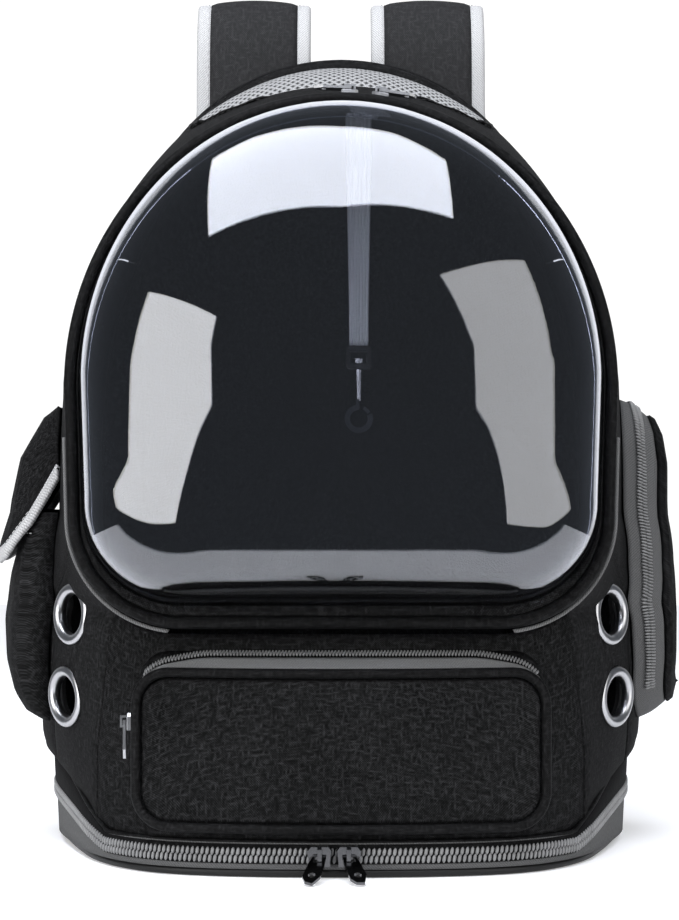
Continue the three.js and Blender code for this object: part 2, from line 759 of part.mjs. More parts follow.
function frontPocket() {
  const rows = (t) => {
    const side = POCKET_SIDE + t;
    const loops = [
      pocketFoot(side),
      pocketLoop(side, POCKET_EDGE + t),
      pocketLoop(POCKET_EDGE + t, POCKET_EDGE + t),
      pocketLoop(POCKET_EDGE + t, FABRIC + t),
      pocketLoop(POCKET_EDGE + 5 + t, t),
    ];
    const centre = V(0, pocketFace(0) + t, (POCKET_Z[0] + POCKET_Z[1]) / 2);
    return loops[0].map((_, i) => [...loops.map((loop) => loop[i]), centre]);
  };
  return wall(rows(0), rows(FABRIC), true);
}

function pocketPiping() {
  const points = pocketLoop(POCKET_PIPING_R, POCKET_PIPING_R);
  const centre = V(0, 0, (POCKET_Z[0] + POCKET_Z[1]) / 2);
  const outward = (i) => {
    const [a, b] = [points[(i + 1) % points.length], points[(i + points.length - 1) % points.length]];
    const n = V(a.z - b.z, 0, b.x - a.x).normalize();
    return n.dot(points[i].clone().sub(centre)) < 0 ? n.negate() : n;
  };
  return roundCord(points, outward, () => V(0, 1, 0), POCKET_PIPING_R, 6, true);
}

// A strip on the pocket's zip gusset, between two shares of its slope.
function pocketZipStrip(from, to, lift, thickness) {
  const rim = pocketLoop(POCKET_SIDE, POCKET_EDGE);
  const foot = pocketFoot(POCKET_SIDE);
  const picked = rim.map((_, i) => i).filter((i) => rim[i].z > POCKET_Z[1] - 0.75 * POCKET_R);
  const middle = (POCKET_Z[0] + POCKET_Z[1]) / 2;
  const turn = (i) => Math.atan2(rim[i].z - middle, rim[i].x);
  picked.sort((a, b) => turn(b) - turn(a));
  const grid = picked.map((i) => [mix(rim[i], foot[i], from), mix(rim[i], foot[i], to)]);
  return wall(shifted(grid, lift), shifted(grid, lift + thickness));
}

// Side pockets

// A point of the right flank at a height above the ground, pushed sideways off the wall.
function flankAt(share, z, off = 0) {
  let [a, b] = [0, 3];
  for (let i = 0; i < 20; i++) {
    const middle = (a + b) / 2;
    if (flankOnTape(share, middle).z < z) a = middle;
    else b = middle;
  }
  const p = flankOnTape(share, a);
  return V(p.x + off, p.y, z);
}

const MM = 1 / BODY_DEPTH; // one millimetre as a share of the flank

// Right pocket: how far it stands out at its heights, as shares of the full amount.
const RIGHT_OUT = [
  { at: 0, out: 0.72 },
  { at: 0.06, out: 0.86 },
  { at: 0.22, out: 0.97 },
  { at: 0.6, out: 1 },
  { at: 0.8, out: 0.88 },
  { at: 0.93, out: 0.66 },
  { at: 1, out: 0.45 },
];

function rightLoop(inset, out) {
  const { low, top } = SIDE_Z;
  const span = (SIDE_SHARE[1] - SIDE_SHARE[0]) * BODY_DEPTH;
  const outline = roundedRect(inset, low + inset, span - inset, top - inset, 26 - inset / 2);
  return outline.getSpacedPoints(28).slice(0, -1).map((p) => {
    const share = SIDE_SHARE[0] + p.x * MM;
    const stand = read(RIGHT_OUT, (p.y - low) / (top - low), "out") * out * SIDE_PROUD;
    return flankAt(share, p.y, WALL_GAP + stand);
  });
}

const RIGHT_EDGE = [9, 0.62]; // gusset's outer edge: inset, share of the stand-off

function rightGusset() {
  const foot = rightLoop(0, 0);
  const edge = rightLoop(...RIGHT_EDGE);
  const footIn = rightLoop(SIDE_POCKET_T, 0);
  const edgeIn = rightLoop(RIGHT_EDGE[0] + SIDE_POCKET_T, RIGHT_EDGE[1]);
  const rows = (a, b) => a.map((p, i) => [p, mix(p, b[i], 0.5), b[i]]);
  return wall(rows(foot, edge), rows(footIn, edgeIn), true);
}

function rightCover() {
  const [inset, share] = RIGHT_EDGE;
  const lift = (loop, d) => loop.map((p) => V(p.x + d, p.y, p.z));
  const rim = lift(rightLoop(inset, share), WALL_GAP);
  const lip = rightLoop(inset + 0.5, 0.86);
  const face = rightLoop(inset + 9, 1);
  const middle = (loop) => loop.reduce((sum, p) => sum.add(p), V(0, 0, 0)).divideScalar(loop.length);
  const centre = middle(face);
  const outer = rim.map((_, i) => [rim[i], lip[i], face[i], centre]);
  const inwards = (p, t) => V(p.x - t, lerp(p.y, centre.y, 0.05), lerp(p.z, centre.z, 0.03));
  const inner = rim.map((_, i) => [
    inwards(rim[i], 0),
    inwards(lip[i], SIDE_POCKET_T),
    inwards(face[i], SIDE_POCKET_T),
    V(centre.x - SIDE_POCKET_T, centre.y, centre.z),
  ]);
  return wall(outer, inner, true);
}

function rightTeeth() {
  const foot = rightLoop(0, 0);
  const edge = rightLoop(...RIGHT_EDGE);
  const middle = flankAt((SIDE_SHARE[0] + SIDE_SHARE[1]) / 2, (SIDE_Z.low + SIDE_Z.top) / 2);
  const span = foot
    .map((p, i) => ({ i, turn: Math.atan2(p.z - middle.z, p.y - middle.y) }))
    .map(({ i, turn }) => ({ i, turn: turn < -0.4 ? turn + 2 * Math.PI : turn }))
    .filter(({ turn }) => turn > 0.6 && turn < 4.3)
    .sort((a, b) => a.turn - b.turn);
  const grid = span.map(({ i }) => [mix(foot[i], edge[i], 0.3), mix(foot[i], edge[i], 0.72)]);
  return wall(shifted(grid, 2 * GAP), shifted(grid, 2 * GAP + COIL_T));
}

// Left pocket, drawn on the right flank and mirrored: stand-off up its height.
const LEFT_OUT = [
  { at: 0, out: 0.11 },
  { at: 0.035, out: 0.45 },
  { at: 0.12, out: 0.75 },
  { at: 0.27, out: 0.93 },
  { at: 0.47, out: 1 },
  { at: 0.7, out: 0.94 },
  { at: 1, out: 0.74 },
];
// The bag's plan: place along its width and share of the stand-off.
const LEFT_PLAN = [
  { along: 0, out: 0 },
  { along: 0.03, out: 0.62 },
  { along: 0.09, out: 0.9 },
  { along: 0.22, out: 1 },
  { along: 0.5, out: 1.02 },
  { along: 0.78, out: 1 },
  { along: 0.91, out: 0.9 },
  { along: 0.97, out: 0.62 },
  { along: 1, out: 0 },
];

function leftPocket() {
  const [s0, s1] = SIDE_SHARE;
  const { low, hem } = SIDE_Z;
  const rows = (t) =>
    LEFT_OUT.map((level, k) => {
      const z = lerp(low, hem, level.at) + (k ? 0 : t);
      return LEFT_PLAN.map(({ along, out }) => {
        const share = lerp(s0 + t * MM, s1 - t * MM, along);
        const stand = Math.max(0, level.out * out * SIDE_PROUD - (out ? t : 0));
        return flankAt(share, z, WALL_GAP + stand);
      });
    });
  return wall(rows(0), rows(SIDE_POCKET_T));
}

// Flap: from its seam down to its free edge, with cheeks where it closes to the wall at both ends.
const FLAP = [
  { out: 0, z: 1, cheek: 1 },
  { out: 0.33, z: 0.972, cheek: 0.95 },
  { out: 0.78, z: 0.835, cheek: 0.88 },
  { out: 0.99, z: 0.7, cheek: 0.84 },
  { out: 1.13, z: 0.52, cheek: 0.8 },
];
const FLAP_ALONG = [
  { along: 0, open: 0 },
  { along: 0.05, open: 0.6 },
  { along: 0.13, open: 0.92 },
  { along: 0.26, open: 1 },
  { along: 0.5, open: 1 },
  { along: 0.74, open: 1 },
  { along: 0.87, open: 0.92 },
  { along: 0.95, open: 0.6 },
  { along: 1, open: 0 },
];

function flapGrid() {
  const [s0, s1] = SIDE_SHARE;
  const top = SIDE_Z.top - 5;
  const height = (k) => lerp(SIDE_Z.low, top, k);
  return FLAP_ALONG.map(({ along, open }) =>
    FLAP.map((row) => {
      const z = height(lerp(row.cheek, row.z, open));
      return flankAt(lerp(s0 - 3 * MM, s1 + 3 * MM, along), z, 3 * GAP + row.out * open * SIDE_PROUD);
    }),
  );
}

function leftFlap() {
  const grid = flapGrid();
  const outer = grid.map((row) => row.map((p, j) => p.clone().add(V(j < 2 ? 0.8 : 1.7, 0, j < 2 ? 1.8 : 1))));
  return wall(outer, grid);
}

function flapBinding() {
  const rows = flapGrid().map((row) => {
    const [a, b] = row.slice(-2);
    const down = b.clone().sub(a).normalize();
    const from = b.clone().addScaledVector(down, 2 * GAP);
    return [from, from.clone().addScaledVector(down, 5)];
  });
  const inner = rows.map((row) => row.map((p) => p.clone().add(V(-0.3, 0, -0.2))));
  const outer = rows.map((row) => row.map((p) => p.clone().add(V(2.3, 0, 1))));
  return wall(outer, inner);
}

// Shoulder straps: the strap's middle from its seam on the back panel over the top and down.
const STRAP_PATH = [
  { x: 1, y: 8, z: 0.87 },
  { x: 1, y: 10, z: 0.95 },
  { x: 1, y: 16, z: 1.045 },
  { x: 1, y: 33, z: 1.091 },
  { x: 1.01, y: 51, z: 1.062 },
  { x: 1.04, y: 60, z: 0.96 },
  { x: 1.15, y: 60, z: 0.82 },
  { x: 1.35, y: 52, z: 0.64 },
  { x: 1.58, y: 40, z: 0.47 },
  { x: 1.72, y: 31, z: 0.37 },
];

function strapCurve() {
  const back = BACK_Y + BACK_T;
  const points = STRAP_PATH.map((row) => V(row.x * STRAP_X, back + row.y, row.z * BACK_TOP));
  return new THREE.CatmullRomCurve3(points);
}

// A flat band along a curve: centre offset across, width and thickness, with eased corners.
function band(curve, steps, across, width, thickness) {
  const sections = range(steps).map((k) => {
    const p = curve.getPointAt(k);
    const along = curve.getTangentAt(k);
    const wide = V(1, 0, 0).addScaledVector(along, -along.x).normalize();
    const thick = along.clone().cross(wide);
    const middle = p.clone().addScaledVector(wide, across(k));
    const at = (u, v) =>
      middle.clone().addScaledVector(wide, u * width(k)).addScaledVector(thick, v * thickness);
    return [at(-0.5, 0), at(-0.44, 0.5), at(0.44, 0.5), at(0.5, 0), at(0.44, -0.5), at(-0.44, -0.5)];
  });
  return loft(sections);
}

const strapTaper = (k) => 1 - 0.35 * THREE.MathUtils.smoothstep(k, 0.55, 1);

function strap() {
  return band(strapCurve(), 15, () => 0, (k) => STRAP_W * strapTaper(k), STRAP_T);
}

function strapBinding(side) {
  const across = (k) => side * ((STRAP_W * strapTaper(k) + BINDING_W) / 2 + GAP);
  return band(strapCurve(), 13, across, () => BINDING_W, BINDING_T);
}

// Webbing from the strap's lower end, through the adjuster, to the lower corner of the back.
function webbingCurve() {
  const end = strapCurve().getPointAt(1);
  const along = strapCurve().getTangentAt(1);
  const from = end.clone().addScaledVector(along, 2 * GAP);
  const back = BACK_Y + BACK_T;
  const foot = V(0.8 * BACK_HALF_W, back + WEBBING_T, TRAY_T + 36);
  const bend = V(lerp(from.x, foot.x, 0.55), back + 20, lerp(from.z, foot.z, 0.5));
  return new THREE.CatmullRomCurve3([from, from.clone().addScaledVector(along, 26), bend, foot]);
}

function webbing() {
  return band(webbingCurve(), 7, () => 0, () => WEBBING_W, WEBBING_T);
}

// Ladder adjuster round the webbing: a frame with the webbing through it.
function ladderLock() {
  const frame = (w, h, hole) => {
    const shape = roundedRect(-w / 2, -h / 2, w / 2, h / 2, 3);
    shape.holes.push(roundedRect(-hole / 2, -h / 2 + 4, hole / 2, h / 2 - 4, 1));
    return shape;
  };
  const plate = extruded(frame(WEBBING_W + 9, 24, WEBBING_W + 2), 3, 0, 2).translate(0, 0, 1.4);
  const bar = box(WEBBING_W + 9, 5, 3, 0, 0, WEBBING_T + 1.4);
  return joined(plate, bar);
}

function onWebbing(geometry, share) {
  const curve = webbingCurve();
  const p = curve.getPointAt(share);
  const along = curve.getTangentAt(share);
  const wide = V(1, 0, 0).addScaledVector(along, -along.x).normalize();
  const out = along.clone().cross(wide).negate();
  const turn = new THREE.Matrix4().makeBasis(wide, wide.clone().cross(out).negate(), out);
  return closed(geometry.toNonIndexed().applyMatrix4(turn.setPosition(p)));
}

// Zip sliders and pulls

// A slider facing -Y whose lug holds a pull's bar; the bar's middle is the origin.
function slider(size, held) {
  const { w, h, t, lug, lugT, play } = size;
  const face = held.bar / 2 + play;
  const span = 2 * (held.bar + play + lugT);
  const reach = 2 * face + lugT;
  const arm = (z) => box(lug, reach + 0.2, lugT, 0, face + 0.2 - (reach + 0.2) / 2, z);
  const cap = box(lug, lugT, span, 0, face - reach + lugT / 2, 0);
  const waist = new THREE.Shape();
  waist.moveTo(-w / 2, h * 0.3);
  waist.lineTo(-w * 0.36, h / 2);
  waist.lineTo(w * 0.36, h / 2);
  waist.lineTo(w / 2, h * 0.3);
  waist.lineTo(w * 0.42, -h / 2);
  waist.lineTo(-w * 0.42, -h / 2);
  waist.closePath();
  const body = extruded(waist, t, 0.5, 1).rotateX(Math.PI / 2).translate(0, face + t, 0);
  return joined(body, arm((span - lugT) / 2), arm((lugT - span) / 2), cap);
}

// A pull hanging down from its bar at the origin: an eye round the lug, a plate and a slanted tip.
function pull(size) {
  const { l, w, head, t, bar, eye, eyeL } = size;
  const shape = new THREE.Shape();
  const top = bar / 2;
  shape.moveTo(-head / 2, top);
  shape.lineTo(head / 2, top);
  shape.lineTo(w * 0.46, top - eyeL - 3);
  shape.lineTo(w / 2, top - l + w * 0.8);
  shape.lineTo(w * 0.2, top - l);
  shape.lineTo(-w * 0.25, top - l + 1);
  shape.lineTo(-w / 2, top - l + w * 0.6);
  shape.lineTo(-w * 0.46, top - eyeL - 3);
  shape.closePath();
  const plate = extruded(shape, t).translate(0, 0, -t / 2).rotateX(Math.PI / 2);
  const slot = box(eye, 2 * t, eyeL, 0, 0, -(bar + eyeL) / 2);
  const r = w * 0.22;
  const hole = new THREE.CylinderGeometry(r, r, 2 * t, 8).scale(1, 1, 1.2);
  return cut(plate, slot, closed(hole.translate(0, 0, top - l + w * 0.85)));
}

// Pieces in the scene

const root = new THREE.Group();
const black = { color: 0x1b1b1d, roughness: 0.9, metalness: 0 };
const grey = { color: 0x9a9a9c, roughness: 0.85, metalness: 0 };
const chrome = { color: 0xc8c9cc, roughness: 0.2, metalness: 1 };
const darkMetal = { color: 0x3a3b3f, roughness: 0.3, metalness: 1 };
const clear = { color: 0xaab0bb, roughness: 0.05, transparent: true, opacity: 0.4 };

function add(name, geometry, material, parent = root) {
  const mesh = new THREE.Mesh(geometry, new THREE.MeshStandardMaterial(material));
  mesh.name = name;
  parent.add(mesh);
  return mesh;
}

function flip(geometry) {
  return closed(geometry.clone().toNonIndexed().scale(-1, 1, 1));
}

function addPair(name, geometry, material) {
  add(name + "_right", geometry, material);
  add(name + "_left", flip(geometry), material);
}

add("base_tray", baseTray(), black);
add("base_zip_tape", baseTape(), grey);
add("base_zip_teeth", baseTeeth(), grey);
add("front_panel", frontPanel(), black);
addPair("vent_panel", ventPanel(), black);
addPair("side_panel", sheet(sidePanelGrid(), FABRIC), black);
add("roof_gusset", roofGusset(), black);
add("roof_mesh", roofMesh(), grey);
add("back_panel", backPanel(), black);
add("bubble_ring", bubbleRing(), black);
add("ring_piping", ringPiping(), black);
add("bubble_dome", bubbleDome(), clear);
add("door_zip_band", doorBand(), black);
addPair("corner_tape", cornerTape(), grey);
for (const [name, seat] of Object.entries(ventSeats)) {
  addPair("vent_" + name, closed(placedOut(vent(), seat).toNonIndexed()), chrome);
}

add("front_pocket", frontPocket(), black);
add("front_pocket_piping", pocketPiping(), black);
add("front_pocket_zip_tape", pocketZipStrip(0.08, 0.5, 2 * GAP, 1), grey);
add("front_pocket_zip_teeth", pocketZipStrip(0.56, 0.92, 2 * GAP, 1.6), grey);

add("right_pocket_gusset", rightGusset(), grey);
add("right_pocket_cover", rightCover(), black);
add("right_pocket_teeth", rightTeeth(), grey);
add("left_pocket", flip(leftPocket()), black);
add("left_pocket_flap", flip(leftFlap()), black);
add("left_flap_binding", flip(flapBinding()), grey);

// Sliders and pulls of the base zip; the pulls lie forward with their tips on the ground.
const sliderBack = (size, held) => held.bar / 2 + size.play + size.t;
for (const [side, { x, splay }] of Object.entries(BASE_SLIDERS)) {
  const seat = new THREE.Group();
  const teethFront = frontPoint(0.5, TAPE_TOP).y - GAP - COIL_T;
  const z = lerp(TRAY_T, TAPE_TOP, 0.52);
  seat.position.set(x, teethFront - GAP - sliderBack(SLIDER, PULL), z);
  root.add(seat);
  add("base_slider_" + side, slider(SLIDER, PULL), darkMetal, seat);
  const lean = Math.asin((z - PULL.t / 2 - GAP) / (PULL.l - PULL.bar / 2));
  const laid = add("base_pull_" + side, pull(PULL), darkMetal, seat);
  laid.rotation.set(lean - Math.PI / 2, THREE.MathUtils.degToRad(splay), 0);
}

// Slider of the front pocket's zip, on the gusset's left side, with its pull hanging.
const pocketSeat = new THREE.Group();
const pocketSide = pocketLoop(POCKET_SIDE, POCKET_EDGE).reduce((a, p) => (p.x < a.x ? p : a));
pocketSeat.position.set(
  pocketSide.x - 2 * GAP - sliderBack(SMALL_SLIDER, SMALL_PULL),
  pocketSide.y + SMALL_SLIDER.w / 2 - 1,
  POCKET_SLIDER_Z,
);
pocketSeat.rotation.z = -Math.PI / 2;
root.add(pocketSeat);
add("front_pocket_slider", slider(SMALL_SLIDER, SMALL_PULL), chrome, pocketSeat);
add("front_pocket_pull", pull(SMALL_PULL), chrome, pocketSeat);

// Sliders of the door's zip, lying on the band at the crown, pulls apart.
for (const [side, { x, way }] of Object.entries(ROOF_SLIDERS)) {
  const slope = (x * (RING_HIGH - RING_SHOULDER)) / RING_HALF_W ** 2;
  const drop = (x * slope) / 2;
  const rise = GAP + sliderBack(SMALL_SLIDER, SMALL_PULL);
  const mid = (n) => onRing(x, RING_HIGH - drop + rise, n);
  const seat = new THREE.Group();
  const up = onRing(slope, 1, 0).sub(onRing(0, 0, 0)).normalize();
  const across = V(way, 0, 0).addScaledVector(up, -way * up.x).normalize();
  const zAxis = across.clone().negate();
  const yAxis = up.clone().negate();
  const turn = new THREE.Matrix4().makeBasis(yAxis.clone().cross(zAxis), yAxis, zAxis);
  seat.quaternion.setFromRotationMatrix(turn);
  seat.position.copy(mid(-(DOOR_BAND + SMALL_SLIDER.w / 2) / 2));
  root.add(seat);
  add("roof_slider_" + side, slider(SMALL_SLIDER, SMALL_PULL), chrome, seat);
  add("roof_pull_" + side, pull(SMALL_PULL), chrome, seat);
}

// Tether: webbing from the roof, a clip, and a snap hook that swivels in it.
function crownAt(y) {
  let [a, b] = [0, 1];
  for (let i = 0; i < 20; i++) {
    const middle = (a + b) / 2;
    if (flank(middle, 3, TAPE_TOP).y < y) a = middle;
    else b = middle;
  }
  return flank(a, 3, TAPE_TOP).z;
}
const tether = new THREE.Group();
tether.position.set(TETHER.x, TETHER.y, TETHER.end);
root.add(tether);
const tetherTop = crownAt(TETHER.y) - 2 * FABRIC - 5 * GAP - TETHER.end;
add("tether_webbing", box(TETHER.w, TETHER.t, tetherTop, 0, 0, tetherTop / 2), grey, tether);

function tetherClip() {
  const { w, h, d, bar } = CLIP;
  const frame = roundedRect(-w / 2, -h, w / 2, 0, 2);
  frame.holes.push(roundedRect(-w / 2 + 2.5, bar - h, w / 2 - 2.5, -bar, 0.5));
  const block = extruded(frame, d, 0, 1).rotateX(Math.PI / 2).translate(0, d / 2, -GAP);
  const bore = new THREE.CylinderGeometry(HOOK.stem + HOOK.play, HOOK.stem + HOOK.play, bar + 3, 12);
  return cut(block, closed(bore.rotateX(Math.PI / 2).translate(0, 0, bar / 2 - h - GAP)));
}
add("tether_clip", tetherClip(), darkMetal, tether);

const hookSeat = CLIP.bar - CLIP.h; // upper face of the clip's lower bar
const hookEye = hookSeat - CLIP.bar - HOOK.shank - HOOK.r;

function snapHook() {
  const { stem, head, shank, r, wire, d } = HOOK;
  const profile = [
    [0, 2.4],
    [head, 2.4],
    [head, 0],
    [stem, 0],
    [stem, -CLIP.bar - 4],
    [stem * 0.75, -CLIP.bar - shank + 2],
    [0, -CLIP.bar - shank + 2],
  ].map(([x, y]) => new THREE.Vector2(x, y));
  const turned = new THREE.LatheGeometry(profile.reverse(), 10).rotateX(Math.PI / 2);
  const post = closed(turned).translate(0, 0, hookSeat);
  const bow = new THREE.Shape();
  bow.absarc(0, 0, r, Math.PI * 0.5, Math.PI * 2.12, false);
  bow.absarc(0, 0, r - wire, Math.PI * 2.12, Math.PI * 0.5, true);
  const ring = extruded(bow, d, 0, 7).rotateX(Math.PI / 2).translate(0, d / 2, hookEye);
  const neck = box(wire - 1, d, 6, -0.7, 0, hookEye + r);
  return joined(post, ring, neck);
}
add("snap_hook", snapHook(), darkMetal, tether);

function hookGate() {
  const { r, wire, d } = HOOK;
  const mid = r - wire / 2;
  const shape = new THREE.Shape();
  const [a, b] = [Math.PI * 0.17, Math.PI * 0.37];
  shape.absarc(0, 0, mid + 1, a, b, false);
  shape.absarc(0, 0, mid - 1, b, a, true);
  return extruded(shape, d - 1, 0, 4).rotateX(Math.PI / 2).translate(0, d / 2 - 0.5, hookEye);
}
add("hook_gate", hookGate(), darkMetal, tether);

addPair("shoulder_strap", strap(), black);
addPair("strap_binding_outer", strapBinding(1), grey);
addPair("strap_binding_inner", strapBinding(-1), grey);
addPair("strap_webbing", webbing(), black);
addPair("ladder_lock", onWebbing(ladderLock(), 0.45), black);

export default root;
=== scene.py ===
# Bubble pet carrier backpack: the looks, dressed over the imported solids. Sizes below are in millimetres.
import math
import bisect
import bmesh
import bpy
from mathutils import Matrix, Vector, noise


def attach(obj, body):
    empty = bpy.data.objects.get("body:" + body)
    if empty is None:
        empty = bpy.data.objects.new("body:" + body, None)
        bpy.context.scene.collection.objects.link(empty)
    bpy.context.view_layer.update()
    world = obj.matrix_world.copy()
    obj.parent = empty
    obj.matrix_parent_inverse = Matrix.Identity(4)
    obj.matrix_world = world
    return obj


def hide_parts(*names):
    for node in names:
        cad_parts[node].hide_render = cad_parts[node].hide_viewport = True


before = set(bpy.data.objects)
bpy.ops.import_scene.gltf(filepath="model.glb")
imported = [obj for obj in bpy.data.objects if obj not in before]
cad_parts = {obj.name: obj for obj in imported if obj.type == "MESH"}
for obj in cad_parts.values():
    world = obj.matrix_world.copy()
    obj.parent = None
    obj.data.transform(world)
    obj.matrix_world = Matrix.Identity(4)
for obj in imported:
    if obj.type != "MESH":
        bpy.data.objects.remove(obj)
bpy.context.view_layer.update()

MM = 0.001
BODY = "carrier"

# Camera: level, at the photo's height and distance
camera_data = bpy.data.cameras.new("camera")
camera_data.lens = 113.87
camera_data.sensor_width = 36
camera = bpy.data.objects.new("camera", camera_data)
camera.location = (-0.0008, -1.63, 0.215)
camera.rotation_euler = (math.pi / 2, 0, 0)
bpy.context.scene.collection.objects.link(camera)
bpy.context.scene.camera = camera


# Small mathematics

def V(x, y, z):
    return Vector((x, y, z))


def lerp(a, b, k):
    return a + (b - a) * k


def spread(n, a=0.0, b=1.0):
    return [lerp(a, b, i / n) for i in range(n + 1)]


def smooth(x, a, b):
    k = min(max((x - a) / (b - a), 0), 1)
    return k * k * (3 - 2 * k)


def table(rows, at, column):
    """Reads a table of rows, the first value of each being its place."""
    i = 1
    while i < len(rows) - 1 and rows[i][0] < at:
        i += 1
    a, b = rows[i - 1], rows[i]
    k = min(max((at - a[0]) / (b[0] - a[0]), 0), 1)
    return lerp(a[column], b[column], k)


def spline(points, t):
    """A point of the smooth curve through the points."""
    last = len(points) - 1
    p = last * t
    i = min(int(p), last - 1)
    w = p - i
    p1, p2 = points[i], points[i + 1]
    p0 = points[i - 1] if i else p1 * 2 - p2
    p3 = points[i + 2] if i + 2 <= last else p2 * 2 - p1
    d1 = max((p2 - p1).length, 1e-6) ** 0.5
    d0 = (p1 - p0).length ** 0.5 or d1
    d2 = (p3 - p2).length ** 0.5 or d1
    t1 = ((p1 - p0) / d0 - (p2 - p0) / (d0 + d1) + (p2 - p1) / d1) * d1
    t2 = ((p2 - p1) / d1 - (p3 - p1) / (d1 + d2) + (p3 - p2) / d2) * d1
    return p1 + t1 * w + (p1 * -3 + p2 * 3 - t1 * 2 - t2) * w ** 2 + (p1 * 2 - p2 * 2 + t1 + t2) * w ** 3


def mirrored(points):
    return [V(-p.x, p.y, p.z) for p in points]


class Line:
    """A polyline read by its length."""

    def __init__(self, points, ring=False):
        self.points = [p.copy() for p in points] + ([points[0].copy()] if ring else [])
        self.at = [0.0]
        for a, b in zip(self.points, self.points[1:]):
            self.at.append(self.at[-1] + (b - a).length)
        self.length = self.at[-1]

    def point(self, share):
        d = min(max(share, 0), 1) * self.length
        i = min(max(bisect.bisect_right(self.at, d) - 1, 0), len(self.points) - 2)
        span = self.at[i + 1] - self.at[i] or 1
        return self.points[i].lerp(self.points[i + 1], (d - self.at[i]) / span)

    def tangent(self, share):
        e = 0.6 / self.length
        return (self.point(share + e) - self.point(share - e)).normalized()


# The body's sizes, as in the part's source
GAP = 0.3
FABRIC = 2
BASE_HALF_W = 164
BODY_DEPTH = 264
FRONT_Y = -BODY_DEPTH / 2 - 2
BACK_T = 12
BACK_Y = FRONT_Y + BODY_DEPTH - BACK_T
TAPE_TOP, TAPE_RISE, TAPE_RUN, TAPE_TURN = 18.5, 42, 70, 46
TRAY_T = 4
BACK_HALF_W, BACK_TOP, CROWN_R, RIM = 160, 456, 125.5, 5
CROWN_TURN = math.radians(62)
RING_Z, RING_SET, RING_LEAN = 127.4, 8, math.radians(10)
RING_HALF_W, RING_HIGH, RING_TAPER, RING_CORNER_R, RING_SHOULDER = 145.5, 288, 3, 60, 130
PIPING_R = 3.2
DOME_SIDE, DOME_LOW, DOME_BULGE, DOOR_BAND = 8.5, 12.8, 70, 9
VENT_R, VENT_HEIGHTS = 11, {"low": 87, "high": 132}
POCKET_W, POCKET_LOW, POCKET_HIGH, POCKET_R = 218, 23, 108, 20
POCKET_FRONT, POCKET_BOW, POCKET_SLOPE, POCKET_PIPING_R = 8, 350, 9, 2.5
SIDE_LOW, SIDE_TOP_Z, SIDE_HEM, SIDE_PROUD = 70, 249, 186, 22
SIDE_SHARE = (0.45, 0.86)
STRAP_W, STRAP_T, STRAP_X, BINDING_W = 51, 11, 53, 9.5

PLAN = [  # share of the ring's height, crease x, crease y, front, corner x, corner y
    (0, 0.799, 0.216, 0, 0.58, 0.0625),
    (0.47, 0.796, 0.193, 0.016, 0.58, 0.064),
    (0.785, 0.762, 0.125, 0.042, 0.573, 0.066),
    (1, 0.742, 0.087, 0.066, 0.573, 0.07),
]
SWELL = [  # height, fore, aft
    (0, 0.05, 0.085), (0.35, 0.09, 0.145), (0.75, 0.118, 0.175), (1, 0.118, 0.175),
    (1.5, 0.06, 0.118), (2, 0.035, 0.06), (2.5, 0.03, 0.04), (3, 0.02, 0.02),
]
RIGHT_OUT = [  # right pocket: height, stand-off
    (0, 0.72), (0.06, 0.84), (0.22, 0.93), (0.42, 0.99), (0.62, 1.08),
    (0.8, 1.12), (0.9, 1.02), (0.96, 0.84), (1, 0.6),
]
RIGHT_EDGE = (9, 0.76)
LEFT_OUT = [(0, 0.11), (0.035, 0.4), (0.12, 0.64), (0.27, 0.77), (0.47, 0.83), (0.7, 0.83), (1, 0.72)]
LEFT_PLAN = [
    (0, 0), (0.03, 0.62), (0.09, 0.9), (0.22, 1), (0.5, 1.02), (0.78, 1), (0.91, 0.9), (0.97, 0.62), (1, 0),
]
FLAP = [(0, 1, 1), (0.36, 0.965, 0.95), (0.9, 0.835, 0.88), (1.1, 0.7, 0.84), (1.17, 0.53, 0.8)]
FLAP_ALONG = [
    (0, 0), (0.05, 0.6), (0.13, 0.92), (0.26, 1), (0.5, 1), (0.74, 1), (0.87, 0.92), (0.95, 0.6), (1, 0),
]
STRAP_PATH = [
    (1, 8, 0.87), (1, 10, 0.95), (1, 16, 1.035), (1, 33, 1.078), (1.01, 51, 1.05),
    (1.04, 60, 0.96), (1.15, 60, 0.82), (1.35, 52, 0.64), (1.58, 40, 0.47), (1.72, 31, 0.37),
]


def on_ring(across, up, forward):
    c, s = math.cos(RING_LEAN), math.sin(RING_LEAN)
    return V(across, FRONT_Y + RING_SET + up * s - forward * c, RING_Z + up * c + forward * s)


RING_FORWARD = on_ring(0, 0, 1) - on_ring(0, 0, 0)


def arc(x, y, rx, ry, a, b, n=40):
    return [Vector((x + rx * math.cos(t), y + ry * math.sin(t))) for t in spread(n, a, b)]


def ring_half(side, low=None):
    low = side if low is None else low
    half_w = RING_HALF_W - side
    foot = half_w - RING_TAPER
    r = RING_CORNER_R - side
    points = [Vector((0, low))] + arc(foot - r, low + r, r, r, -math.pi / 2, 0)
    return Line(points + arc(0, RING_SHOULDER, half_w, RING_HIGH - side - RING_SHOULDER, 0, math.pi / 2, 80))


def ring_loop(side, low=None, count=90):
    line = ring_half(side, low)
    half = [line.point(k) for k in spread(count)]
    return half + [Vector((-p.x, p.y)) for p in reversed(half[1:-1])]


def back_half(start, inset):
    r = CROWN_R - inset
    centre = BACK_TOP - CROWN_R
    sine = math.sin(CROWN_TURN)
    flank_r = (BACK_HALF_W - CROWN_R * sine) / (1 - sine) - inset
    flank_z = centre - (flank_r - r) * math.cos(CROWN_TURN)
    top = math.pi / 2 - CROWN_TURN
    points = [Vector((BACK_HALF_W - inset, start))]
    points += arc(BACK_HALF_W - inset - flank_r, flank_z, flank_r, flank_r, 0, top)
    return Line(points + arc(0, centre, r, r, top, math.pi / 2, 80))


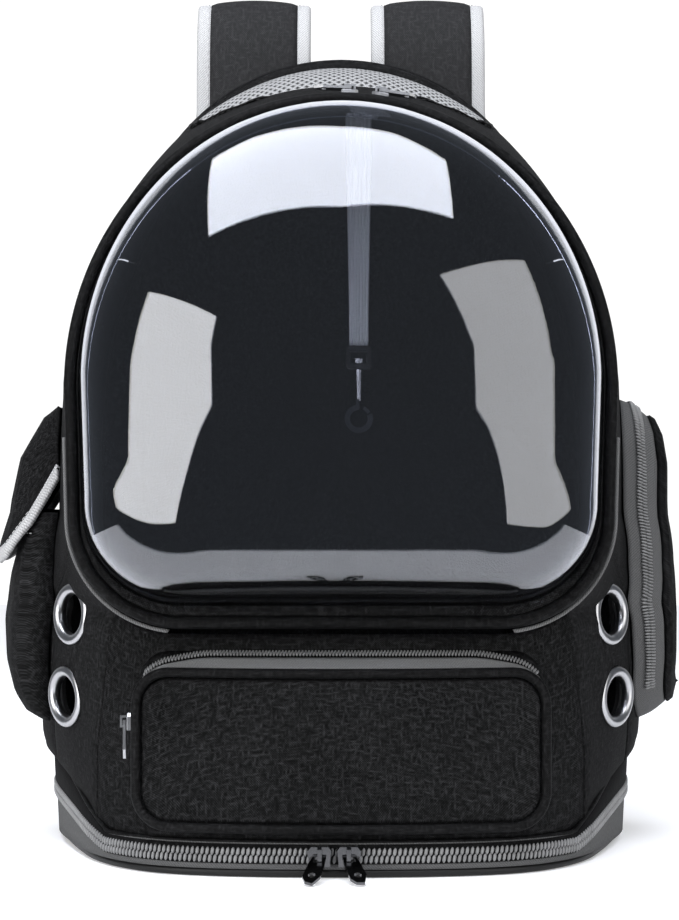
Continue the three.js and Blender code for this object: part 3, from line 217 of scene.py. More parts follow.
WALL_START = -(DOOR_BAND + GAP)
CREASE_TURN = math.radians(-54)


def ring_corner(angle):
    foot = RING_HALF_W - RING_TAPER - RING_CORNER_R
    return on_ring(foot + RING_CORNER_R * math.cos(angle), RING_CORNER_R * (1 + math.sin(angle)), WALL_START)


RING_ARCH = Line(
    [Vector((RING_HALF_W - RING_TAPER, RING_CORNER_R))]
    + arc(0, RING_SHOULDER, RING_HALF_W, RING_HIGH - RING_SHOULDER, 0, math.pi / 2, 80)
)
CREASE_Z = ring_corner(CREASE_TURN).z
BACK_ARCH = back_half(ring_corner(0).z, RIM)


def tape_top(y):
    return TAPE_TOP + TAPE_RISE * (1 - math.exp(-max(0, y - FRONT_Y - TAPE_TURN) / TAPE_RUN))


def plan_point(x_column, y_column, z):
    at = z / RING_Z
    x = table(PLAN, at, x_column) * BASE_HALF_W if x_column else 0
    return V(x, FRONT_Y + table(PLAN, at, y_column) * BODY_DEPTH, z)


def crease_point(z):
    top = ring_corner(CREASE_TURN)
    if z >= RING_Z:
        return plan_point(1, 2, RING_Z).lerp(top, (z - RING_Z) / (top.z - RING_Z))
    return plan_point(1, 2, z)


def flank(share, height, base):
    """The right wall: share 0 front to 1 back; height 1 crease top, 2 shoulder, 3 crown."""
    if height <= 1:
        front = crease_point(lerp(base, CREASE_Z, height))
        back = V(BACK_HALF_W - RIM, BACK_Y, front.z)
    elif height <= 2:
        front = ring_corner(CREASE_TURN * (2 - height))
        back = V(BACK_HALF_W - RIM, BACK_Y, front.z)
    else:
        edge, rim = RING_ARCH.point(height - 2), BACK_ARCH.point(height - 2)
        front = on_ring(edge.x, edge.y, WALL_START)
        back = V(rim.x, BACK_Y, rim.y)
    turn = max(0, height - 2) * math.pi / 2
    out = V(math.cos(turn), 0, math.sin(turn)) * BASE_HALF_W
    at = front.z / CREASE_Z if height <= 1 else height
    fore = front.lerp(back, 0.25) + out * table(SWELL, at, 1)
    aft = front.lerp(back, 0.62) + out * table(SWELL, at, 2)
    return spline([front, fore, aft, back], share)


def flank_on_tape(share, height):
    return flank(share, height, tape_top(flank(share, 0, TAPE_TOP).y) + GAP)


wall_lines = {}


def flank_at(share, z, off=0):
    """A point of the right wall at a height above the floor, pushed sideways off it."""
    key = round(share, 4)
    if key not in wall_lines:
        wall_lines[key] = [flank_on_tape(key, h) for h in spread(44, 0, 2.4)]
    line = wall_lines[key]
    i = 0
    while i < len(line) - 2 and line[i + 1].z < z:
        i += 1
    a, b = line[i], line[i + 1]
    p = a.lerp(b, (z - a.z) / (b.z - a.z))
    return V(p.x + off, p.y, z)


def front_point(share, z):
    crease, corner, centre = crease_point(z), plan_point(4, 5, z), plan_point(0, 3, z)
    return spline([*mirrored((crease, corner)), centre, corner, crease], share)


def front_at(x, z):
    a, b = 0, 1
    for _ in range(18):
        middle = (a + b) / 2
        if front_point(middle, z).x < x:
            a = middle
        else:
            b = middle
    return front_point(a, z).y


VENT_SHARE, VENT_END, SEAM, SIDE_TOP = 0.44, 1.86, 0.0015, 2.45


def vent_edge(height):
    if height <= 1.1:
        return VENT_SHARE
    return VENT_SHARE * max(0, 1 - ((height - 1.1) / (VENT_END - 1.1)) ** 1.6)


# Making meshes

def add_piece(name, mesh, material, nodes=()):
    piece = bpy.data.objects.new(name, mesh)
    bpy.context.scene.collection.objects.link(piece)
    mesh.materials.append(material)
    for face in mesh.polygons:
        face.use_smooth = True
    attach(piece, BODY)
    if nodes:
        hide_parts(*nodes)
    return piece


def mesh_from(bm, name, weld=False):
    """The finished mesh, with its faces turned outwards."""
    if weld:
        bmesh.ops.remove_doubles(bm, verts=bm.verts, dist=1e-6)
    bmesh.ops.recalc_face_normals(bm, faces=bm.faces)
    mesh = bpy.data.meshes.new(name)
    bm.to_mesh(mesh)
    bm.free()
    return mesh


def offset(grid, distance, ring=False):
    """The grid moved along its own normals; +distance follows rows crossed with columns."""
    n, m = len(grid), len(grid[0])
    moved = []
    for i in range(n):
        before = grid[(i - 1) % n if ring else max(i - 1, 0)]
        after = grid[(i + 1) % n if ring else min(i + 1, n - 1)]
        row = []
        for j in range(m):
            across = grid[i][min(j + 1, m - 1)] - grid[i][max(j - 1, 0)]
            d = distance(i, j) if callable(distance) else distance
            row.append(grid[i][j] + (after[j] - before[j]).cross(across).normalized() * d)
        moved.append(row)
    return moved


def shell(name, outer, inner, ring=False, flip_x=False):
    """A closed wall between two grids with a UV map in metres along the rows and columns."""
    bm = bmesh.new()
    uv = bm.loops.layers.uv.new("cloth")
    n, m = len(outer), len(outer[0])
    side = -1 if flip_x else 1
    a, b = (
        [[bm.verts.new((side * p.x * MM, p.y * MM, p.z * MM)) for p in row] for row in grid]
        for grid in (outer, inner)
    )
    mid_row, mid_column = outer[n // 2], [row[m // 2] for row in outer]
    us, vs = [0.0], [0.0]
    for p, q in zip(mid_column, mid_column[1:] + mid_column[:1]):
        us.append(us[-1] + (q - p).length * MM)
    for p, q in zip(mid_row, mid_row[1:]):
        vs.append(vs[-1] + (q - p).length * MM)

    def face(corners, places):
        made = bm.faces.new(corners)
        for loop, (i, j) in zip(made.loops, places):
            loop[uv].uv = (us[i], vs[j])

    for i in range(n if ring else n - 1):
        k = (i + 1) % n
        for j in range(m - 1):
            places = [(i, j), (i + 1, j), (i + 1, j + 1), (i, j + 1)]
            face([a[i][j], a[k][j], a[k][j + 1], a[i][j + 1]], places)
            face([b[i][j + 1], b[k][j + 1], b[k][j], b[i][j]], places[::-1])
        face([b[i][0], b[k][0], a[k][0], a[i][0]], [(i, 0), (i + 1, 0), (i + 1, 0), (i, 0)])
        face([a[i][-1], a[k][-1], b[k][-1], b[i][-1]], [(i, m - 1), (i + 1, m - 1), (i + 1, m - 1), (i, m - 1)])
    if not ring:
        for j in range(m - 1):
            face([a[0][j], a[0][j + 1], b[0][j + 1], b[0][j]], [(0, j), (0, j + 1), (0, j + 1), (0, j)])
            places = [(n - 1, j), (n - 1, j + 1), (n - 1, j + 1), (n - 1, j)]
            face([b[-1][j], b[-1][j + 1], a[-1][j + 1], a[-1][j]], places)
    return mesh_from(bm, name, weld=True)


def loft(name, sections, ring=False, flip_x=False):
    """A solid through closed sections, with capped ends unless it closes on itself."""
    bm = bmesh.new()
    uv = bm.loops.layers.uv.new("cloth")
    side = -1 if flip_x else 1
    rows = [[bm.verts.new((side * p.x * MM, p.y * MM, p.z * MM)) for p in s] for s in sections]
    n, m = len(rows), len(rows[0])
    us, vs = [0.0], [0.0]
    for a, b in zip(sections, sections[1:] + sections[:1]):
        us.append(us[-1] + (b[0] - a[0]).length * MM)
    for a, b in zip(sections[0], sections[0][1:] + sections[0][:1]):
        vs.append(vs[-1] + (b - a).length * MM)
    for i in range(n if ring else n - 1):
        k = (i + 1) % n
        for j in range(m):
            made = bm.faces.new([rows[i][j], rows[k][j], rows[k][(j + 1) % m], rows[i][(j + 1) % m]])
            for loop, (u, v) in zip(made.loops, [(i, j), (i + 1, j), (i + 1, j + 1), (i, j + 1)]):
                loop[uv].uv = (us[u], vs[v])
    if not ring:
        bm.faces.new(rows[0])
        bm.faces.new(rows[-1][::-1])
    return mesh_from(bm, name)


def round_section(centre, u, v, r, sides=12, flat=1.0):
    angles = spread(sides, 0, 2 * math.pi)[:-1]
    return [centre + u * (r * math.cos(a)) + v * (r * flat * math.sin(a)) for a in angles]


def tube(name, line, r, sides=12, ring=False, steps=120, up=V(0, 0, 1), flat=1.0, flip_x=False):
    """A round or flattened cord along a line."""
    shares = spread(steps)[: steps if ring else steps + 1]
    sections = []
    for k in shares:
        t = line.tangent(k)
        u = up.cross(t)
        u = u.normalized() if u.length > 1e-3 else V(1, 0, 0)
        sections.append(round_section(line.point(k), u, t.cross(u).normalized(), r, sides, flat))
    return loft(name, sections, ring, flip_x)


def scatter(name, source, matrices):
    """One mesh that holds a copy of a small shape at each place."""
    bm = bmesh.new()
    for matrix in matrices:
        copy = source.copy()
        copy.transform(matrix)
        bm.from_mesh(copy)
        bpy.data.meshes.remove(copy)
    mesh = bpy.data.meshes.new(name)
    bm.to_mesh(mesh)
    bm.free()
    return mesh


def place(p, along, out, flip_x=False):
    """A matrix in metres that lays local X along, and local Z outwards."""
    x = along.normalized()
    z = (out - x * out.dot(x)).normalized()
    y = z.cross(x)
    m = Matrix((x, y, z)).transposed().to_4x4()
    m.translation = p * MM
    return Matrix.Diagonal((-1, 1, 1, 1)) @ m if flip_x else m


def bead(name, length, width, height, rings=5):
    """A stitch or a tooth: a rounded bar along X, in millimetres."""
    sections = []
    for k in spread(rings - 1, -1, 1):
        swell = max(0.35, math.sqrt(max(0, 1 - k ** 4)))
        w, h = width / 2 * swell, height / 2 * swell
        angles = spread(6, 0, 2 * math.pi)[:-1]
        sections.append([V(k * length / 2, w * math.cos(a), h * math.sin(a)) for a in angles])
    return loft(name, sections)


# Materials

def nodes_of(name):
    material = bpy.data.materials.new(name)
    material.use_nodes = True
    tree = material.node_tree
    return material, tree, tree.nodes["Principled BSDF"]


def link(tree, a, b):
    tree.links.new(a, b)


def math_node(tree, operation, a, b=None):
    node = tree.nodes.new("ShaderNodeMath")
    node.operation = operation
    for socket, value in zip(node.inputs, (a, b)):
        if value is None:
            continue
        if isinstance(value, (int, float)):
            socket.default_value = value
        else:
            link(tree, value, socket)
    return node.outputs[0]


def noise_node(tree, vector, scale, detail=2.0, stretch=(1, 1, 1)):
    mapping = tree.nodes.new("ShaderNodeMapping")
    mapping.inputs["Scale"].default_value = stretch
    link(tree, vector, mapping.inputs["Vector"])
    node = tree.nodes.new("ShaderNodeTexNoise")
    node.inputs["Scale"].default_value = scale
    node.inputs["Detail"].default_value = detail
    link(tree, mapping.outputs[0], node.inputs["Vector"])
    return node.outputs["Fac"]


def ramp(tree, factor, stops):
    node = tree.nodes.new("ShaderNodeValToRGB")
    elements = node.color_ramp.elements
    for element, (at, color) in zip(elements, (stops[0], stops[-1])):
        element.position = at
        element.color = (*color, 1)
    for at, color in stops[1:-1]:
        element = elements.new(at)
        element.color = (*color, 1)
    link(tree, factor, node.inputs["Fac"])
    return node.outputs["Color"]


def bump(tree, shader, height, strength, distance):
    node = tree.nodes.new("ShaderNodeBump")
    node.inputs["Strength"].default_value = strength
    node.inputs["Distance"].default_value = distance
    link(tree, height, node.inputs["Height"])
    link(tree, node.outputs["Normal"], shader.inputs["Normal"])


def grey(value, tint=0.0):
    return (value, value, value * (1 + tint))


def coordinates(tree, use_uv):
    node = tree.nodes.new("ShaderNodeTexCoord")
    return node.outputs["UV" if use_uv else "Object"]


def axes_of(tree, vector):
    node = tree.nodes.new("ShaderNodeSeparateXYZ")
    link(tree, vector, node.inputs[0])
    return node.outputs


def waves(tree, value, pitch):
    """A sine along one coordinate, -1 to 1, with a pitch in metres."""
    turned = math_node(tree, "MULTIPLY_ADD", value, 2 * math.pi / pitch)
    turned.node.inputs[2].default_value = 0
    return math_node(tree, "SINE", turned)


def woven(name, dark, light, pitch=0.0012, rough=0.85, tint=0.03, depth=0.0004):
    """Plain weave: crossing threads, heathered in short streaks both ways."""
    material, tree, shader = nodes_of(name)
    at = coordinates(tree, True)
    x, y, _ = axes_of(tree, at)
    weave = math_node(tree, "MULTIPLY", waves(tree, x, pitch), waves(tree, y, pitch))
    streaks_a = noise_node(tree, at, 1 / 0.0016, 1.0, (0.35, 1, 1))
    streaks_b = noise_node(tree, at, 1 / 0.0016, 1.0, (1, 0.35, 1))
    streaks = math_node(tree, "MAXIMUM", streaks_a, streaks_b)
    cloud = noise_node(tree, at, 14, 3.0)
    mixed = math_node(tree, "MULTIPLY_ADD", weave, 0.16)
    link(tree, streaks, mixed.node.inputs[2])
    shade = math_node(tree, "MULTIPLY_ADD", cloud, 0.22)
    link(tree, mixed, shade.node.inputs[2])
    middle = grey(lerp(dark, light, 0.25), tint)
    color = ramp(tree, shade, [(0.5, grey(dark, tint)), (0.7, middle), (0.95, grey(light, tint))])
    link(tree, color, shader.inputs["Base Color"])
    rough_value = math_node(tree, "MULTIPLY_ADD", streaks, 0.15)
    rough_value.node.inputs[2].default_value = rough - 0.08
    link(tree, rough_value, shader.inputs["Roughness"])
    shader.inputs["Specular IOR Level"].default_value = 0.06
    bump(tree, shader, mixed, 0.8, depth)
    return material


def twill(name, dark, light, pitch=0.0012, rough=0.8, herring=None):
    """Diagonal twill tape; with herring, the diagonal turns back at that width."""
    material, tree, shader = nodes_of(name)
    at = coordinates(tree, True)
    x, y, _ = axes_of(tree, at)
    if herring:
        y = math_node(tree, "PINGPONG", y, herring)
    lines = waves(tree, math_node(tree, "ADD", x, y), pitch)
    specks = noise_node(tree, at, 1400, 2.0)
    shade = math_node(tree, "MULTIPLY_ADD", lines, 0.22)
    link(tree, specks, shade.node.inputs[2])
    color = ramp(tree, shade, [(0.2, grey(dark)), (0.8, grey(light))])
    link(tree, color, shader.inputs["Base Color"])
    shader.inputs["Roughness"].default_value = rough
    shader.inputs["Specular IOR Level"].default_value = 0.12
    bump(tree, shader, shade, 0.7, 0.0004)
    return material


def metal(name, value, rough, scratch=0.06):
    material, tree, shader = nodes_of(name)
    at = coordinates(tree, False)
    shader.inputs["Metallic"].default_value = 1.0
    haze = noise_node(tree, at, 350, 4.0)
    color = ramp(tree, haze, [(0.3, grey(value * 0.9, 0.02)), (0.7, grey(value, 0.02))])
    link(tree, color, shader.inputs["Base Color"])
    rough_value = math_node(tree, "MULTIPLY_ADD", haze, scratch)
    rough_value.node.inputs[2].default_value = rough - scratch / 2
    link(tree, rough_value, shader.inputs["Roughness"])
    bump(tree, shader, noise_node(tree, at, 900, 2.0), 0.05, 0.0001)
    return material


def moulded(name, value, rough, grain=0.3):
    material, tree, shader = nodes_of(name)
    at = coordinates(tree, False)
    cloud = noise_node(tree, at, 60, 3.0)
    color = ramp(tree, cloud, [(0.3, grey(value * 0.85)), (0.7, grey(value * 1.1))])
    link(tree, color, shader.inputs["Base Color"])
    shader.inputs["Specular IOR Level"].default_value = 0.2
    rough_value = math_node(tree, "MULTIPLY_ADD", cloud, 0.1)
    rough_value.node.inputs[2].default_value = rough - 0.05
    link(tree, rough_value, shader.inputs["Roughness"])
    bump(tree, shader, noise_node(tree, at, 1500, 2.0), grain, 0.0001)
    return material


def clear_plastic(name):
    material, tree, shader = nodes_of(name)
    at = coordinates(tree, False)
    shader.inputs["Transmission Weight"].default_value = 1.0
    shader.inputs["IOR"].default_value = 1.62
    shader.inputs["Base Color"].default_value = (0.8, 0.83, 0.92, 1)
    smear = noise_node(tree, at, 9, 3.0)
    rough_value = math_node(tree, "MULTIPLY_ADD", smear, 0.03)
    rough_value.node.inputs[2].default_value = 0.005
    link(tree, rough_value, shader.inputs["Roughness"])
    bump(tree, shader, noise_node(tree, at, 5, 1.0), 0.02, 0.002)
    return material


def spacer_mesh(name):
    """Honeycomb spacer mesh: staggered oval holes in a light lattice, with painted shade: the lattice darkens
    towards each hole and the holes are painted near-black.
    """
    material, tree, shader = nodes_of(name)
    at = coordinates(tree, True)
    x, y, _ = axes_of(tree, at)
    slope = 0.24
    deep = math_node(tree, "MULTIPLY", y, slope)
    left = waves(tree, math_node(tree, "ADD", x, deep), 0.0052)
    right = waves(tree, math_node(tree, "SUBTRACT", x, deep), 0.0052)
    cells = math_node(tree, "MINIMUM", left, right)
    # painted shade: the lattice goes from 0.3 to 0.2 towards each hole, and the holes, sunk only by the bump,
    # are painted near-black for the shaded inside
    color = ramp(tree, cells, [(0.0, grey(0.3)), (0.2, grey(0.2)), (0.34, grey(0.004))])
    link(tree, color, shader.inputs["Base Color"])
    shader.inputs["Roughness"].default_value = 0.85
    height = math_node(tree, "MULTIPLY", cells, -1)
    bump(tree, shader, height, 1.0, 0.0015)
    return material


black_cloth = woven("black_cloth", 0.0012, 0.022)
strap_cloth = woven("strap_cloth", 0.014, 0.032, pitch=0.0013)
flange_cloth = woven("flange_cloth", 0.001, 0.024, pitch=0.0016, depth=0.0006)
piping_cloth = woven("piping_cloth", 0.001, 0.014, rough=0.6, pitch=0.0011)
# painted shade: near-black cloth for the strip behind the base zip's teeth, darker than the grey zip tape
coil_shade_cloth = woven("coil_shade_cloth", 0.002, 0.012, pitch=0.0011)
tape_grey = twill("tape_grey", 0.045, 0.1, 0.0015)
tape_light = twill("tape_light", 0.24, 0.44, 0.0016)
tape_mid = twill("tape_mid", 0.07, 0.16, 0.0014)
herringbone = twill("herringbone", 0.22, 0.5, 0.0016, herring=0.0022)
webbing_grey = twill("webbing_grey", 0.24, 0.45, 0.0011)
webbing_black = twill("webbing_black", 0.004, 0.02, 0.0011)
thread_light = moulded("thread_light", 0.4, 0.7)
thread_black = moulded("thread_black", 0.02, 0.7)
coil_grey = moulded("coil_grey", 0.17, 0.3)
board = moulded("board", 0.006, 0.5, 0.5)
acetal = moulded("acetal", 0.008, 0.35)
nickel = metal("nickel", 0.36, 0.3)
black_nickel = metal("black_nickel", 0.09, 0.18)
dome_clear = clear_plastic("dome_clear")
mesh_light = spacer_mesh("mesh_light")


# Body walls

def soft(p, amount, seed=0.0):
    """Slow, uneven give of the cloth."""
    q = p * 0.011 + V(seed, seed * 0.7, 3.1)
    return amount * (noise.noise(q) + 0.4 * noise.noise(q * 2.7))


def seam_dip(i, j, n, m, depth, reach=2.0):
    """How far a panel pulls in beside its seams, in rows and columns from the edge."""
    near = min(i, n - 1 - i, (m - 1 - j), j)
    return depth * math.exp(-((near / reach) ** 2))


def panel(name, grid, inwards, nodes, flip_x=False, seed=0.0, puff=1.0, material=None, dip=1.2):
    """A sewn panel from a grid of its outer face; inwards is +1 where the grid's normal points in."""
    n, m = len(grid), len(grid[0])

    def out(i, j):
        return -inwards * (soft(grid[i][j], puff, seed) - seam_dip(i, j, n, m, dip))

    face = offset(grid, out)
    mesh = shell(name, face, offset(face, inwards * FABRIC), flip_x=flip_x)
    return add_piece(name, mesh, material or black_cloth, nodes)


def front_grid(columns, rows, end=0.004):
    grid = []
    for k in spread(columns, end, 1 - end):
        base = tape_top(front_point(k, TAPE_TOP).y) + GAP
        x = front_point(k, RING_Z).x
        over = max(0, abs(x) - (RING_HALF_W - RING_TAPER - RING_CORNER_R))
        sunk = RING_CORNER_R - math.sqrt(max(0, RING_CORNER_R ** 2 - over ** 2))
        top = on_ring(0, sunk, WALL_START).z - 4 * GAP
        grid.append([front_point(k, lerp(base, top, r)) for r in spread(rows)])
    return grid


panel("front_panel_cloth", front_grid(90, 40), -1, ["front_panel"], seed=2.0, puff=0.5)

vent_heights = spread(60, 0, 1.76)
vent_grid = [[flank_on_tape(lerp(SEAM, vent_edge(h) - SEAM, k), h) for k in spread(36)] for h in vent_heights]
side_heights = spread(60, 0, 1.76) + spread(24, 1.78, SIDE_TOP)
side_grid = []
for h in side_heights:
    start = vent_edge(h) + SEAM if h < VENT_END else 0
    side_grid.append([flank_on_tape(lerp(start, 1 - 2 * SEAM, k), h) for k in spread(56)])
roof_heights = spread(44, SIDE_TOP + 0.0025, 3)
roof_right = [[flank(lerp(0, 1 - 2 * SEAM, k), h, TAPE_TOP) for k in spread(50)] for h in roof_heights]
roof_grid = roof_right + [mirrored(row) for row in reversed(roof_right[:-1])]


def seat(share, z):
    """Point and outward direction of a vent on the right wall."""
    base = tape_top(flank(share, 0, TAPE_TOP).y) + GAP
    h = (z - base) / (CREASE_Z - base)
    up = flank_on_tape(share, h + 0.03) - flank_on_tape(share, h - 0.03)
    along = flank_on_tape(share + 0.03, h) - flank_on_tape(share - 0.03, h)
    return flank_on_tape(share, h), along.cross(up).normalized()


vent_seats = {name: seat(0.27, z) for name, z in VENT_HEIGHTS.items()}


def carve(piece, cutter, operation):
    """Cuts a piece by another solid, and removes that solid."""
    step = piece.modifiers.new("cut", "BOOLEAN")
    step.object = cutter
    step.operation = operation
    step.solver = "EXACT"
    bpy.ops.object.select_all(action="DESELECT")
    bpy.context.view_layer.objects.active = piece
    piece.select_set(True)
    bpy.ops.object.modifier_apply(modifier="cut")
    bpy.data.objects.remove(cutter)


def drill(piece, at, out, radius, depth, flip_x):
    """Cuts a round hole through a piece, in millimetres."""
    bpy.ops.object.select_all(action="DESELECT")
    bpy.ops.mesh.primitive_cylinder_add(vertices=48, radius=radius * MM, depth=depth * MM)
    cutter = bpy.context.object
    turn = V(0, 0, 1).rotation_difference(V(-out.x if flip_x else out.x, out.y, out.z)).to_matrix().to_4x4()
    turn.translation = V(-at.x if flip_x else at.x, at.y, at.z) * MM
    cutter.data.transform(turn)
    carve(piece, cutter, "DIFFERENCE")


def turned(name, profile, at, out, sides=48):
    """A ring turned from a closed profile of (radius, height), seated on a wall."""
    turn = V(0, 0, 1).rotation_difference(out).to_matrix()
    sections = []
    for a in spread(sides, 0, 2 * math.pi)[:-1]:
        sections.append([at + turn @ V(r * math.cos(a), r * math.sin(a), z) for r, z in profile])
    return sections


GROMMET = [
    (11.0, -3.2), (15.3, -3.2), (15.5, -2.6), (15.3, -2.3), (12.4, -2.3), (12.2, -1.0), (12.2, 0.3),
    (16.0, 0.3), (16.5, 0.6), (16.2, 1.3), (15.1, 2.0), (13.8, 2.2), (12.5, 1.9), (11.5, 1.1), (11.0, 0.2),
]
GROMMET_FORWARD, GROMMET_LEVEL, GROMMET_LIFT = 0.3, 0.4, 1.6
HOLE_PLAY, HOLE_DEPTH = 1.5, 24
for side, flip in (("right", False), ("left", True)):
    cloth = panel("vent_cloth_" + side, vent_grid, 1, ["vent_panel_" + side], flip, seed=5.0, puff=0.4, dip=0.9)
    for name, (at, out) in vent_seats.items():
        drill(cloth, at, out, VENT_R + HOLE_PLAY, HOLE_DEPTH, flip)
        facing = V(out.x, out.y - GROMMET_FORWARD, out.z * GROMMET_LEVEL).normalized()
        ring = turned(name, GROMMET, at + out * GROMMET_LIFT, facing)
        mesh = loft("grommet_" + name + "_" + side, ring, ring=True, flip_x=flip)
        add_piece(mesh.name, mesh, nickel, ["vent_" + name + "_" + side])
    panel("side_cloth_" + side, side_grid, 1, ["side_panel_" + side], flip, seed=7.0 + flip, puff=0.8)

# Roof and its mesh window
WINDOW_HALF_W, WINDOW_FRONT, WINDOW_BACK, WINDOW_R = 82, 36, 14, 40
CUT_LOW, CUT_HIGH = 300, 470


def window_shape(margin, n=14):
    y0 = flank(0, 3, TAPE_TOP).y + WINDOW_FRONT + margin
    y1 = BACK_Y - WINDOW_BACK - margin
    w, r = WINDOW_HALF_W - margin, WINDOW_R
    points = []
    quarter = math.pi / 2
    hubs = ((w - r, y0 + r), (w - r, y1 - r), (r - w, y1 - r), (r - w, y0 + r))
    for (cx, cy), a in zip(hubs, (-quarter, 0, quarter, math.pi)):
        points += arc(cx, cy, r, r, a, a + quarter, n)
    return points


def prism(name, outline, low, high):
    bm = bmesh.new()
    rows = [[bm.verts.new((p.x * MM, p.y * MM, z * MM)) for p in outline] for z in (low, high)]
    n = len(outline)
    for i in range(n):
        bm.faces.new([rows[0][i], rows[0][(i + 1) % n], rows[1][(i + 1) % n], rows[1][i]])
    bm.faces.new(rows[0][::-1])
    bm.faces.new(rows[1])
    piece = bpy.data.objects.new(name, mesh_from(bm, name))
    bpy.context.scene.collection.objects.link(piece)
    return piece


roof = panel("roof_cloth", roof_grid, 1, ["roof_gusset"], seed=11.0, puff=0.5)
carve(roof, prism("window_cut", window_shape(0), CUT_LOW, CUT_HIGH), "DIFFERENCE")
window = panel("roof_mesh_cloth", roof_grid, 1, ["roof_mesh"], seed=11.0, puff=0.5, material=mesh_light)
carve(window, prism("window_keep", window_shape(GAP), CUT_LOW, CUT_HIGH), "INTERSECT")


def roof_height(x, y):
    """Height of the roof's outer face over a place."""
    best = min((p for row in roof_grid for p in row), key=lambda p: (p.x - x) ** 2 + (p.y - y) ** 2)
    return best.z


hem_line = Line([V(p.x, p.y, roof_height(p.x, p.y) + 0.4) for p in window_shape(-1.5)], ring=True)
window_binding = tube("window_binding", hem_line, 2.2, 10, ring=True, steps=200, flat=0.45)
add_piece("window_binding", window_binding, piping_cloth)

# Back panel: a padded slab with a bound rim
back_shape = back_half(TRAY_T + GAP + 16, 0)
outline = [V(0, 0, TRAY_T + GAP), V(BACK_HALF_W - 16, 0, TRAY_T + GAP)]
outline += [V(p.x, 0, p.y) for p in (back_shape.point(k) for k in spread(90))]
half_line = Line(outline)
right_half = [half_line.point(k) for k in spread(110)]
full = right_half + mirrored(reversed(right_half[1:-1]))
middle = V(0, 0, 230)
rows_out = [(0.0, 6.0), (0.7, 1.6), (3.2, 0.2), (8, 0.6), (10, 1.6), (13, 0.6), (30, 0.0), (70, -0.0)]
back_outer = []
for p in full:
    reach = (p - middle).length
    row = []
    for inset, drop in rows_out:
        q = p.lerp(middle, min(inset / reach, 1))
        row.append(V(q.x, BACK_Y + BACK_T - drop - 0.1, q.z))
    back_outer.append(row + [V(0, BACK_Y + BACK_T - 0.1, 230)])
back_inner = [[V(p.x, 2 * BACK_Y + BACK_T + 0.3 - p.y, p.z) for p in row] for row in back_outer]
back = add_piece("back_pad", shell("back_pad", back_outer, back_inner, ring=True), black_cloth, ["back_panel"])
back_rim = back_half(TRAY_T + GAP + 16, 6)
rim_foot = [V(0, 0, TRAY_T + 6), V(BACK_HALF_W - 22, 0, TRAY_T + 6)]
rim_half = Line(rim_foot + [V(p.x, 0, p.y) for p in (back_rim.point(k) for k in spread(90))])
rim_right = [rim_half.point(k) for k in spread(110)]
rim_points = rim_right + mirrored(reversed(rim_right[1:-1]))
rim_line = Line([V(p.x, BACK_Y + BACK_T / 2, p.z) for p in rim_points], ring=True)
back_binding = tube("back_rim_binding", rim_line, 6.3, 14, ring=True, steps=300, up=V(0, 1, 0))
add_piece("back_rim_binding", back_binding, piping_cloth)

# Base tray, tape and coil teeth

def foot_share(x, z):
    """The base draws in towards the floor at its sides."""
    return 1 - 0.018 * smooth(abs(x), 100, 160) * (1 - min(z / 58, 1))


def eased(points, reach=22.0):
    """The line with its corners rounded over a reach in millimetres, resampled evenly."""
    line = Line(points)
    n = len(points)
    e = reach / line.length
    weights = [(-1, 0.25), (-0.5, 0.5), (0, 0.5), (0.5, 0.5), (1, 0.25)]
    result = []
    for k in spread(n - 1):
        near = min(k / e, (1 - k) / e, 1)
        total = sum((line.point(k + d * e * near) * w for d, w in weights), V(0, 0, 0))
        result.append(total / sum(w for _, w in weights))
    return result


def perimeter(z, out=0.0, columns=60, side_columns=40):
    right = [flank(k, 0, z) for k in spread(side_columns)]
    front = [front_point(k, z) for k in spread(columns)][1:-1]
    line = eased(mirrored(reversed(right)) + front + right)
    moved = []
    for i, p in enumerate(line):
        t = line[min(i + 1, len(line) - 1)] - line[max(i - 1, 0)]
        moved.append(p + V(t.y, -t.x, 0).normalized() * out)
    return moved


ends = BACK_Y - GAP
tray_line = [V(p.x * foot_share(p.x, 2), p.y, p.z) for p in perimeter(TRAY_T, 1)]
edge = tray_line[-1].x
TRAY_CUT, TRAY_BACK = 8, BACK_Y + BACK_T
tray_corner = [V(edge, TRAY_BACK - TRAY_CUT, 0), V(edge - TRAY_CUT, TRAY_BACK, 0)]
tray_line += tray_corner + mirrored(reversed(tray_corner))
TRAY_SECTION = [(30, 0), (2.4, 0), (0.6, 0.6), (0, 1.6), (0, 3.0), (0.5, 3.8), (1.6, 4), (30, 4)]
tray_rows = []
for p in tray_line:
    flat_p = V(p.x, p.y, 0)
    inward = -flat_p.normalized()
    tray_rows.append([flat_p + inward * d + V(0, 0, z) for d, z in TRAY_SECTION])
low_rows = [[V(0, 0, 0)] + row + [V(0, 0, TRAY_T)] for row in tray_rows]


def capped(name, rows):
    """A closed body from rows whose ends meet in two poles."""
    bm = bmesh.new()
    made = [[bm.verts.new((p.x * MM, p.y * MM, p.z * MM)) for p in row] for row in rows]
    n, m = len(rows), len(rows[0])
    for i in range(n):
        k = (i + 1) % n
        for j in range(m - 1):
            bm.faces.new([made[i][j], made[k][j], made[k][j + 1], made[i][j + 1]])
    return mesh_from(bm, name, weld=True)


add_piece("base_board", capped("base_board", low_rows), board, ["base_tray"])


def band_grid(out, low, high, rows=6):
    line = [V(p.x, min(p.y, ends), p.z) for p in perimeter(TAPE_TOP, out)]
    grid = []
    for p in line:
        row = []
        for k in spread(rows):
            z = lerp(low(p.y), high(p.y), k)
            row.append(V(p.x * foot_share(p.x, z), p.y, z))
        grid.append(row)
    return grid


tape_grid = band_grid(0, lambda y: TRAY_T + GAP, tape_top)
base_tape = shell("base_tape_cloth", tape_grid, offset(tape_grid, 1.6))
add_piece("base_tape_cloth", base_tape, tape_grey, ["base_zip_tape"])
COIL_H = 7.5


def coil_middle(y):
    return lerp(TRAY_T, tape_top(y), 0.52)


